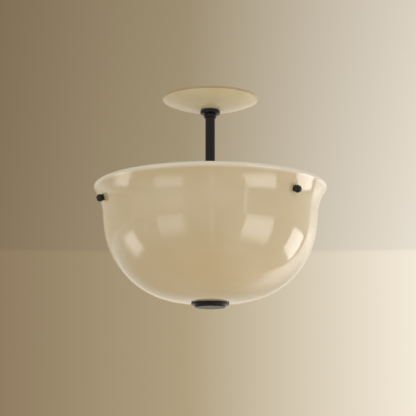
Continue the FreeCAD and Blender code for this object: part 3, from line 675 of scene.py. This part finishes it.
# Lamp glass, powder coated inside: a soft white that light goes a little way into.
LAMP_GLASS = Finish(
    "frosted_lamp_glass", "frosted_glass", "#F2EFE6", "#ECE8DC", 0.35,
    glow=0.4, glow_depth=2.0, glow_reach=(1.0, 0.95, 0.85), grain_size=0.5, grain_depth=0.003,
)


def dress(finish: Finish, *nodes: str) -> None:
    """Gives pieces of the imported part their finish.

    Args:
        finish: What they are finished in.
        nodes: Names of the nodes.
    """
    for node in nodes:
        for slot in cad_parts[node].material_slots:
            slot.material = finish.material()
        LOG.info("%s: %s", node, finish.name)


def add_piece(piece: bpy.types.Object, body: str, finish: Finish, replaced: str) -> None:
    """Gives a new piece its finish and its body, and hides the node that it stands for.

    Args:
        piece: New mesh object, in place.
        body: Body of the part that carries it.
        finish: What it is finished in.
        replaced: Node that it hides.
    """
    piece.data.materials.clear()
    piece.data.materials.append(finish.material())
    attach(piece, body)
    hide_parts(replaced)
    LOG.info("%s rides on %s: %s", piece.name, body, finish.name)


# ---------------------------------------------------------------- threads and screws
@dataclass(frozen=True)
class Thread:
    """A screw thread about the Z axis, in millimetres."""

    crest_radius: float
    root_radius: float
    pitch: float
    flat: float = 0.15
    rounded: bool = False
    round_steps: int = 8
    steps: int = 32
    lead_in: float = 1.5

    def section(self) -> Outline:
        """Outline of one turn as (radius, height) points in millimetres."""
        root, crest = self.root_radius, self.crest_radius
        if self.rounded:
            points = []
            for step in range(self.round_steps + 1):
                share = step / self.round_steps
                swell = (1 - math.cos(2 * math.pi * share)) / 2
                points.append((root + (crest - root) * swell, share * self.pitch))
            return tuple(points)
        half = self.flat / 2
        return (
            (root, 0.0),
            (crest, (0.5 - half) * self.pitch),
            (crest, (0.5 + half) * self.pitch),
            (root, self.pitch),
        )

    def length(self, name: str, low: float, high: float, closed: bool) -> bpy.types.Object:
        """A length of the bare thread, cut off flat.

        Args:
            name: Name of the piece.
            low: Height of its lower end in millimetres.
            high: Height of its upper end in millimetres.
            closed: Whether its ends get faces.

        Returns:
            The thread, modelled about the Z axis.
        """
        turns = math.ceil((high - low) / self.pitch) + 2
        thread = turned_piece(name, self.section(), self.steps, self.pitch, turns)
        start = (low - self.lead_in * self.pitch) * MM
        thread.data.transform(Matrix.Translation((0, 0, start)))
        cut_ends(thread, low, high, closed)
        return thread

    def rod(
        self, name: str, low: float, high: float, degrees: float = CRISP_ANGLE,
    ) -> bpy.types.Object:
        """A threaded rod with flat ends.

        Args:
            name: Name of the piece.
            low: Height of its lower end in millimetres.
            high: Height of its upper end in millimetres.
            degrees: Angle from which its edges stay crisp.

        Returns:
            The rod, modelled about the Z axis.
        """
        rod = self.length(name, low, high, closed=True)
        smooth(rod, degrees)
        return rod

    def shell(self, name: str, low: float, high: float, wall: float) -> bpy.types.Object:
        """A thin shell with the thread rolled into it, open at both ends.

        Args:
            name: Name of the piece.
            low: Height of its lower end in millimetres.
            high: Height of its upper end in millimetres.
            wall: Thickness of the sheet in millimetres.

        Returns:
            The shell, modelled about the Z axis.
        """
        shell = self.length(name, low, high, closed=False)
        apply_modifier(shell, "SOLIDIFY", {"thickness": wall * MM, "offset": 1.0})
        weld(shell)
        smooth(shell, ROLLED_ANGLE)
        return shell


@dataclass(frozen=True)
class GrubThread(Thread):
    """Thread of a headless screw with a hexagon socket in its upper end."""

    key_radius: float = 0.75
    socket_depth: float = 1.6
    socket_share: float = 0.6

    def stand_in(self, node: str, name: str, body: str) -> None:
        """Makes a grub screw along +Y in the place of a plain one.

        Args:
            node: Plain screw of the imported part.
            name: Name of the piece.
            body: Body of the part that carries it.
        """
        low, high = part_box(node)
        start, end = low.y / MM, high.y / MM
        screw = self.length("grub_pattern", start, end, closed=True)
        depth = min(self.socket_depth, (end - start) * self.socket_share)
        drill(screw, self.key_radius, end - depth, end + CUT_PAST, 6)
        smooth(screw)
        middle = Matrix.Translation((0, 0, (low.z + high.z) / 2))
        placed = copy_piece(screw, name, middle @ Matrix.Rotation(-math.pi / 2, 4, "X"))
        bpy.data.objects.remove(screw)
        add_piece(placed, body, ZINC, node)


@dataclass(frozen=True)
class PipeThread(Thread):
    """Thread of the hollow nipples and rod that the leads run through."""

    bore: float = 3.2
    bore_sides: int = 32

    def pipe(self, name: str, low: float, high: float) -> bpy.types.Object:
        """A length of threaded pipe.

        Args:
            name: Name of the piece.
            low: Height of its lower end in millimetres.
            high: Height of its upper end in millimetres.

        Returns:
            The pipe, modelled about the Z axis.
        """
        pipe = self.length(name, low, high, closed=True)
        drill(pipe, self.bore, low - CUT_PAST, high + CUT_PAST, self.bore_sides)
        smooth(pipe)
        return pipe

    def stand_in(self, node: str, name: str) -> None:
        """Makes a threaded pipe in the place of a plain one on the stem's axis.

        Args:
            node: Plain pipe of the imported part.
            name: Name of the piece.
        """
        low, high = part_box(node)
        add_piece(self.pipe(name, low.z / MM, high.z / MM), "frame", ZINC, node)


PIPE_THREAD = PipeThread(4.9, 4.45, 0.94)
KNOB_THREAD = Thread(2.4, 2.0, 0.8, steps=24)
GRUB_THREAD = GrubThread(1.5, 1.25, 0.5, steps=24)
CAP_THREAD = Thread(13.1, 12.2, 3.63, rounded=True, steps=48)
SHELL_THREAD = Thread(13.85, 13.4, 3.63, rounded=True, steps=48)


class Place(Enum):
    """A place round the stem's axis, by azimuth in degrees from +X towards +Y."""

    @property
    def label(self) -> str:
        """The place's name as the nodes spell it."""
        return self.name.lower()

    def axis(self, radius: float, height: float, lean: float) -> Matrix:
        """Where an axis lies that points away from the stem here.

        Args:
            radius: How far its zero is from the stem's axis in millimetres.
            height: Height of its zero in millimetres.
            lean: Angle between the axis and straight up in degrees.

        Returns:
            The matrix from that axis to the part's frame.
        """
        turn = Matrix.Rotation(math.radians(self.value), 4, "Z")
        point = Matrix.Translation((radius * MM, 0, height * MM))
        return turn @ point @ Matrix.Rotation(math.radians(lean), 4, "Y")


class Side(Place):
    """The three places round the bowl where a knob holds the glass."""

    FRONT_RIGHT = -42.8
    REAR = 77.2
    FRONT_LEFT = 197.2


class Lamp(Place):
    """The three lamps in the bowl."""

    FRONT = 257.8
    RIGHT = 17.8
    LEFT = 137.8


# ---------------------------------------------------------------- sub-assemblies
@dataclass
class CeilingEnd:
    """Crossbar, its screws and the threaded nipple."""

    def build(self) -> None:
        """Dresses the steelwork and threads the nipple."""
        dress(ZINC, "crossbar", "crossbar_nuts", "lock_washers")
        dress(GREEN_ZINC, "ground_screw")
        PIPE_THREAD.stand_in("ceiling_nipple", "nipple_threads")


@dataclass
class CanopySet:
    """Canopy, felt, collar and the collar's screw."""

    def build(self) -> None:
        """Dresses the canopy's pieces and models the collar's grub screw."""
        dress(CREAM_ENAMEL, "canopy")
        dress(WOOL_FELT, "canopy_felt")
        dress(DARK_BRONZE, "canopy_collar")
        GRUB_THREAD.stand_in("collar_set_screw", "collar_grub_screw", "collar_screw")


@dataclass
class Stem:
    """Tube between the crossbar and the lamps."""

    def build(self) -> None:
        """Dresses the tube and its bushes."""
        dress(DARK_BRONZE, "stem")
        dress(ZINC, "stem_top_bush", "stem_lower_bush")


@dataclass
class Bowl:
    """Glass bowl and the rubber bushes in its side holes."""

    def build(self) -> None:
        """Dresses the glass and its bushes."""
        dress(IVORY_GLASS, "glass_bowl")
        dress(RUBBER, "side_grommets")


@dataclass
class Spider:
    """Hub, arms and nuts that hold the glass at its three knobs."""

    def build(self) -> None:
        """Dresses the steelwork and models the hub's grub screw."""
        dress(BROWN_PAINT, "spider_hub", *("spider_arm_" + side.label for side in Side))
        dress(ZINC, "arm_screws", "weld_nuts")
        GRUB_THREAD.stand_in("hub_set_screw", "hub_grub_screw", "frame")


@dataclass
class Knobs:
    """The three knobs with their washers and screws.

    Sizes are in millimetres.  Places along a knob's own axis count outwards from the outside
    of the glass, and its face is given from the rim of the ball inwards, by the height above
    that rim: a groove, and a small button that stands in it.
    """

    slope: float = 73.3
    point_radius: float = 187.692
    point_height: float = -185.829
    screw_low: float = -15.8
    screw_high: float = 6.5
    back: float = 1.5
    back_edge: float = 0.3
    centre: float = 6.1
    ball_radius: float = 6.5
    ball_steps: int = 20
    rim_radius: float = 4.3
    face: Outline = (
        (4.05, -0.05), (3.8, -0.7), (3.55, -0.9), (3.2, -0.9), (3.1, -0.75), (3.05, 0.2),
        (2.7, 0.65), (2.0, 0.95), (1.0, 1.0), (0.6, 0.7), (0.0, 0.55),
    )
    crisp_angle: float = 40.0

    def outline(self) -> Outline:
        """A ball with a flat back, and a small button in a groove in its face."""
        start = math.acos((self.back - self.centre) / self.ball_radius)
        end = math.asin(self.rim_radius / self.ball_radius)
        back_radius = self.ball_radius * math.sin(start) - self.back_edge
        points = [(0.0, self.back), (back_radius, self.back)]
        for step in range(self.ball_steps + 1):
            angle = start + (end - start) * step / self.ball_steps
            points.append((
                self.ball_radius * math.sin(angle),
                self.centre + self.ball_radius * math.cos(angle),
            ))
        rim = points[-1][1]
        return (*points, *((radius, rim + rise) for radius, rise in self.face))

    def build(self) -> None:
        """Turns the knobs, dresses the washers and threads the screws."""
        head = turned_piece("knob_ball", self.outline())
        smooth(head, self.crisp_angle)
        screw = KNOB_THREAD.rod("knob_thread", self.screw_low, self.screw_high)
        for side in Side:
            label = side.label
            place = side.axis(self.point_radius, self.point_height, 180 - self.slope)
            dress(RUBBER, "knob_washer_" + label)
            ball = copy_piece(head, "knob_ball_" + label, place)
            add_piece(ball, "knob_" + label, KNOB_BRONZE, "knob_" + label)
            threads = copy_piece(screw, "knob_thread_" + label, place)
            add_piece(threads, "knob_" + label, ZINC, "knob_screw_" + label)
        for pattern in (head, screw):
            bpy.data.objects.remove(pattern)


@dataclass
class Cluster:
    """Can that carries the lampholders, with its nipples, rod and nuts.

    Places along a lamp's own axis are in millimetres outwards from the stem's axis.
    """

    tilt: float = 25.0
    axis_height: float = -268.0
    nipple_low: float = 27.0
    nipple_high: float = 47.0

    def place(self, lamp: Lamp) -> Matrix:
        """Where a lamp's own axis lies, with its zero on the stem's axis.

        Args:
            lamp: Which lamp.

        Returns:
            The matrix from the lamp's axis to the part's frame.
        """
        return lamp.axis(0, self.axis_height, 90 - self.tilt)

    def build(self) -> None:
        """Dresses the can and threads its nipples and rod."""
        dress(WHITE_ENAMEL, "cluster_cup", "cluster_cover")
        dress(ZINC, "rod_nuts")
        PIPE_THREAD.stand_in("centre_rod", "centre_rod_threads")
        nipple = PIPE_THREAD.pipe("holder_nipple", self.nipple_low, self.nipple_high)
        for lamp in Lamp:
            placed = copy_piece(nipple, "holder_nipple_" + lamp.label, self.place(lamp))
            add_piece(placed, "frame", ZINC, "holder_nipples")
        bpy.data.objects.remove(nipple)


@dataclass(frozen=True)
class CapPart:
    """A turned part of a lamp's cap, by (radius, place along the lamp) in millimetres."""

    name: str
    finish: Finish
    outline: Outline
    steps: int = 48
    crisp_angle: float = CRISP_ANGLE


@dataclass
class Lamps:
    """Lampholders and the lamps in them.

    Places along a lamp's own axis are in millimetres outwards from the stem's axis.
    """

    cluster: Cluster
    seat: float = 52.0
    shell_end: float = 83.5
    shell_wall: float = 0.45
    thread_start: float = 59.8
    thread_end: float = 77.95
    # The plain skirt rolled out over the glass, the black cone under the threads, and the
    # low drop of solder at the tip.
    cap_parts: tuple[CapPart, ...] = (
        CapPart("cap_skirt", NICKEL, (
            (0, 77.75), (12.2, 77.75), (12.35, 78.35), (12.35, 81.55), (12.6, 82.05),
            (12.95, 82.45), (13.0, 82.75), (12.8, 82.95), (0, 82.95),
        )),
        CapPart("cap_insulator", VITRITE, (
            (0, 56.7), (4.3, 56.7), (4.9, 57.1), (8.6, 58.4), (11.4, 59.3), (12.0, 59.9),
            (0, 59.9),
        ), crisp_angle=30.0),
        CapPart("cap_contact", SOLDER, (
            (0, 56.4), (1.8, 56.45), (3.0, 56.65), (3.7, 57.0), (3.9, 57.4), (0, 57.4),
        ), steps=32, crisp_angle=ROLLED_ANGLE),
    )

    def cap(self) -> list[tuple[bpy.types.Object, Finish]]:
        """The parts of one cap with their finishes, modelled about the Z axis."""
        thread = CAP_THREAD.rod("cap_thread", self.thread_start, self.thread_end, ROLLED_ANGLE)
        parts = [(thread, NICKEL)]
        for part in self.cap_parts:
            piece = turned_piece(part.name, part.outline, part.steps)
            smooth(piece, part.crisp_angle)
            parts.append((piece, part.finish))
        return parts

    def build(self) -> None:
        """Dresses the holders and lamps and models the caps and the threaded shells."""
        shell = SHELL_THREAD.shell("holder_shell", self.seat, self.shell_end, self.shell_wall)
        cap = self.cap()
        for lamp in Lamp:
            label = lamp.label
            place = self.cluster.place(lamp)
            dress(PORCELAIN, "lampholder_" + label)
            dress(BRASS, "centre_contact_" + label)
            dress(LAMP_GLASS, "lamp_glass_" + label)
            placed = copy_piece(shell, "threaded_shell_" + label, place)
            add_piece(placed, "frame", BRASS, "screw_shell_" + label)
            for piece, finish in cap:
                placed = copy_piece(piece, piece.name + "_" + label, place)
                add_piece(placed, "lamp_base_" + label, finish, "lamp_cap_" + label)
        for pattern in (shell, *(piece for piece, _ in cap)):
            bpy.data.objects.remove(pattern)


@dataclass
class BowlBase:
    """What clamps the middle of the bowl, and the finial under it."""

    def build(self) -> None:
        """Dresses the seat, plate, gasket and finial."""
        dress(RUBBER, "bowl_seat", "finial_gasket")
        dress(ZINC, "check_plate")
        dress(DARK_BRONZE, "finial_cap")


# ---------------------------------------------------------------- studio
@dataclass(frozen=True)
class Softbox:
    """A tall soft light, by the part of the surroundings that it takes as seen from the bowl.

    Azimuths are in degrees from the front towards +X and elevations from the horizon.  A fade
    is the share of the width or height over which that side dies away.
    """

    name: str
    left: float
    right: float
    low: float
    high: float
    brightness: float
    fade_left: float
    fade_right: float
    fade_low: float
    fade_high: float


@dataclass(frozen=True)
class Grade:
    """Colours along a value, from a low to a high one, held beyond the last stops."""

    low: float
    high: float
    stops: tuple[tuple[float, str], ...]

    def colour_socket(self, tree: Tree, value: Socket) -> Socket:
        """Grades the colours along a socket's value.

        Args:
            tree: Node tree of the floor or the world.
            value: The value's socket.

        Returns:
            The colour's socket.
        """
        share = add_node(
            tree, "ShaderNodeMapRange",
            inputs={"From Min": self.low, "From Max": self.high},
            links={"Value": value},
        )
        ramp = add_node(tree, "ShaderNodeValToRGB", links={"Fac": share.outputs["Result"]})
        elements = ramp.color_ramp.elements
        while len(elements) > 1:
            elements.remove(elements[-1])
        for index, (place, colour) in enumerate(self.stops):
            position = (place - self.low) / (self.high - self.low)
            element = elements[0] if index == 0 else elements.new(position)
            element.position = position
            element.color = linear(colour)
        return ramp.outputs["Color"]


@dataclass
class Studio:
    """Floor, lights, background and camera.

    The floor's colour carries painted light: graded by X in metres into a pale pool of painted
    light to the right, painted paler far away by its distance, and with a little painted shade
    along a direction towards the back left.  The background is graded by how far a direction
    points to +X, and under its ceiling by how far it points up.
    """

    camera_place: tuple[float, float, float] = (-0.00379, -2.3574, -0.6520)
    camera_pitch: float = 11.0
    lens: float = 121.15
    sensor: float = 36.0
    centre: tuple[float, float, float] = (0.0, 0.0, -0.24)
    box_distance: float = 2.6
    floor_height: float = -2.4
    floor_size: float = 80.0
    floor_roughness: float = 0.9
    # Painted light on the floor: paler to the right and far away, painted shade to the back
    # left.
    floor_light_grade: Grade = Grade(-4.0, 4.0, (
        (-3.0, "#DDD1BB"), (-0.9, "#DACFB9"), (0.0, "#D3C7B0"), (0.4, "#D8CCB6"),
        (1.2, "#FFF8EC"),
    ))
    far_floor_light: str = "#FBF7F0"
    far_reach: tuple[float, float] = (2.2, 7.0)
    dim_corner: tuple[float, float, float] = (-0.35, 0.94, 0.0)
    dim_grade: Grade = Grade(0.0, 20.0, (
        (1.5, "#FFFFFF"), (3.0, "#E6E5E3"), (7.0, "#E3E2E0"), (16.0, "#FFFFFF"),
    ))
    room_colour: str = "#EFEAE1"
    room_reach: tuple[float, float] = (-0.15, 0.1)
    ambient: float = 0.82
    light_colour: str = "#FFFDFA"
    wall_grade: Grade = Grade(-0.5, 0.5, (
        (-0.45, "#CFC4B0"), (-0.15, "#907C60"), (-0.015, "#B0A080"), (0.15, "#F5EBD9"),
        (0.4, "#F6EFE2"),
    ))
    ceiling_grade: Grade = Grade(0.0, 0.4, (
        (0.0, "#FFFFFF"), (0.159, "#FFFFFF"), (0.1604, "#F2F3F6"), (0.34, "#E4E3E3"),
    ))
    softboxes: tuple[Softbox, ...] = (
        Softbox("left_back", -117, -90, -35, -8, 1.6, 0.6, 0.08, 0.25, 0.3),
        Softbox("left_front", -57, -25, -38, -1, 0.9, 0.03, 0.15, 0.5, 0.35),
        Softbox("left_front_glow", -55, -25, -4, 26, 0.2, 0.05, 0.1, 0.1, 0.1),
        Softbox("front_strip", 0, 4, -54, 4, 0.5, 0.3, 0.3, 0.3, 0.3),
        Softbox("right_front", 36, 70, -42, -2, 1.9, 0.05, 0.03, 0.45, 0.25),
        Softbox("right_front_edge", 33, 39, -8, 18, 0.8, 0.2, 0.5, 0.1, 0.4),
        Softbox("right_back", 99, 122, -29, -4, 2.4, 0.04, 0.04, 0.15, 0.15),
        Softbox("right_wall", 127, 161, -56, 14, 1.0, 0.04, 1.0, 0.25, 0.3),
    )

    def add_floor(self) -> None:
        """A pale floor at room depth under the ceiling, with painted light and shade in its
        colour.
        """
        deselect_all()
        bpy.ops.mesh.primitive_plane_add(
            size=self.floor_size, location=(0, 0, self.floor_height),
        )
        floor = take_new_object("floor")
        paint = bpy.data.materials.new("floor_painted_light")
        paint.use_nodes = True
        tree = paint.node_tree
        place = add_node(tree, "ShaderNodeTexCoord").outputs["Object"]
        axes = add_node(tree, "ShaderNodeSeparateXYZ", links={"Vector": place})
        # Painted light: the floor paler to the right and paler far away.
        near = self.floor_light_grade.colour_socket(tree, axes.outputs["X"])
        distance = add_node(
            tree, "ShaderNodeVectorMath", {"operation": "LENGTH"}, links={0: place},
        )
        far = add_node(
            tree, "ShaderNodeMapRange",
            inputs={"From Min": self.far_reach[0], "From Max": self.far_reach[1]},
            links={"Value": distance.outputs["Value"]},
        )
        painted_light = add_node(
            tree, "ShaderNodeMix", {"data_type": "RGBA"},
            inputs={MIX_SECOND: linear(self.far_floor_light)},
            links={"Factor": far.outputs["Result"], MIX_FIRST: near},
        )
        # Painted shade: the floor dimmer towards the back left.
        corner = add_node(
            tree, "ShaderNodeVectorMath", {"operation": "DOT_PRODUCT"},
            inputs={1: self.dim_corner},
            links={0: place},
        )
        dim = self.dim_grade.colour_socket(tree, corner.outputs["Value"])
        dimmed = add_node(
            tree, "ShaderNodeMix", {"data_type": "RGBA", "blend_type": "MULTIPLY"},
            inputs={"Factor": 1.0},
            links={MIX_FIRST: painted_light.outputs[MIX_RESULT], MIX_SECOND: dim},
        )
        shader = tree.nodes["Principled BSDF"]
        shader.inputs["Roughness"].default_value = self.floor_roughness
        tree.links.new(dimmed.outputs[MIX_RESULT], shader.inputs["Base Color"])
        floor.data.materials.append(paint)

    def box_shader(self, light: bpy.types.AreaLight, box: Softbox) -> None:
        """Makes a light die away towards its sides.

        Args:
            light: The light's data.
            box: How far each side fades.
        """
        light.use_nodes = True
        tree = light.node_tree
        tree.nodes.clear()
        shape = add_node(tree, "ShaderNodeNewGeometry")
        axes = add_node(
            tree, "ShaderNodeSeparateXYZ", links={"Vector": shape.outputs["Parametric"]},
        )
        shade = None
        for axis, edge, fade in (
            ("X", 0, box.fade_left), ("X", 1, -box.fade_right),
            ("Y", 0, box.fade_low), ("Y", 1, -box.fade_high),
        ):
            side = add_node(
                tree, "ShaderNodeMapRange", {"interpolation_type": "SMOOTHSTEP"},
                inputs={"From Min": edge, "From Max": edge + fade},
                links={"Value": axes.outputs[axis]},
            ).outputs["Result"]
            if shade is None:
                shade = side
                continue
            shade = add_node(
                tree, "ShaderNodeMath", {"operation": "MULTIPLY"}, links={0: shade, 1: side},
            ).outputs[0]
        glow = add_node(tree, "ShaderNodeEmission", links={"Strength": shade})
        add_node(tree, "ShaderNodeOutputLight", links={"Surface": glow.outputs[0]})

    def add_softbox(self, box: Softbox) -> None:
        """Stands one soft light round the bowl.

        Args:
            box: Where it stands and how bright it is.
        """
        azimuth = math.radians((box.left + box.right) / 2)
        elevation = math.radians((box.low + box.high) / 2)
        away = Vector((
            math.sin(azimuth) * math.cos(elevation),
            -math.cos(azimuth) * math.cos(elevation),
            math.sin(elevation),
        ))
        across = 2 * self.box_distance
        light = bpy.data.lights.new(box.name, "AREA")
        light.shape = "RECTANGLE"
        light.size = across * math.tan(math.radians((box.right - box.left) / 2))
        light.size_y = across * math.tan(math.radians((box.high - box.low) / 2))
        light.color = linear(self.light_colour)[:3]
        light.energy = box.brightness * math.pi * light.size * light.size_y
        self.box_shader(light, box)
        lamp = bpy.data.objects.new(box.name, light)
        lamp.location = Vector(self.centre) + away * self.box_distance
        lamp.rotation_mode = "QUATERNION"
        lamp.rotation_quaternion = away.to_track_quat("Z", "Y")
        lamp.visible_camera = False
        bpy.context.scene.collection.objects.link(lamp)

    def add_background(self) -> None:
        """Even soft light on the object, and what is seen and mirrored instead of it.

        That is a wall that pales to the right under a ceiling, and the pale room behind the
        camera.
        """
        world = bpy.data.worlds.new("studio")
        world.use_nodes = True
        tree = world.node_tree
        tree.nodes.clear()
        place = add_node(tree, "ShaderNodeTexCoord").outputs["Generated"]
        axes = add_node(tree, "ShaderNodeSeparateXYZ", links={"Vector": place})
        wall = self.wall_grade.colour_socket(tree, axes.outputs["X"])
        shade = self.ceiling_grade.colour_socket(tree, axes.outputs["Z"])
        backdrop = add_node(
            tree, "ShaderNodeMix", {"data_type": "RGBA", "blend_type": "MULTIPLY"},
            inputs={"Factor": 1.0},
            links={MIX_FIRST: wall, MIX_SECOND: shade},
        )
        ahead = add_node(
            tree, "ShaderNodeMapRange",
            inputs={"From Min": self.room_reach[0], "From Max": self.room_reach[1]},
            links={"Value": axes.outputs["Y"]},
        )
        around = add_node(
            tree, "ShaderNodeMix", {"data_type": "RGBA"},
            inputs={MIX_FIRST: linear(self.room_colour)},
            links={
                "Factor": ahead.outputs["Result"], MIX_SECOND: backdrop.outputs[MIX_RESULT],
            },
        )
        seen = add_node(
            tree, "ShaderNodeBackground",
            inputs={"Strength": 1.0},
            links={"Color": around.outputs[MIX_RESULT]},
        )
        fill = add_node(
            tree, "ShaderNodeBackground",
            inputs={"Strength": self.ambient, "Color": linear(self.light_colour)},
        )
        rays = add_node(tree, "ShaderNodeLightPath").outputs
        shown = rays["Is Camera Ray"]
        for kind in ("Is Glossy Ray", "Is Transmission Ray"):
            shown = add_node(
                tree, "ShaderNodeMath", {"operation": "MAXIMUM"},
                links={0: shown, 1: rays[kind]},
            ).outputs[0]
        mix = add_node(
            tree, "ShaderNodeMixShader",
            links={0: shown, 1: fill.outputs[0], 2: seen.outputs[0]},
        )
        add_node(tree, "ShaderNodeOutputWorld", links={"Surface": mix.outputs[0]})
        bpy.context.scene.world = world

    def add_camera(self) -> None:
        """The camera, where the photograph was taken from."""
        lens = bpy.data.cameras.new("camera")
        lens.lens = self.lens
        lens.sensor_width = self.sensor
        camera = bpy.data.objects.new("camera", lens)
        camera.location = self.camera_place
        camera.rotation_euler = (math.radians(90 + self.camera_pitch), 0, 0)
        bpy.context.scene.collection.objects.link(camera)
        bpy.context.scene.camera = camera

    def build(self) -> None:
        """Sets up the whole studio."""
        self.add_floor()
        for box in self.softboxes:
            self.add_softbox(box)
        self.add_background()
        self.add_camera()
        bpy.context.scene.view_settings.view_transform = "Standard"


def main() -> None:
    """Builds every sub-assembly in order."""
    logging.basicConfig(level=logging.INFO, format="%(message)s")
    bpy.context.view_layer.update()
    Studio().build()
    cluster = Cluster()
    for assembly in (
        CeilingEnd(), CanopySet(), Stem(), Bowl(), Spider(), Knobs(), cluster, Lamps(cluster),
        BowlBase(),
    ):
        assembly.build()


if __name__ == "__main__":
    main()
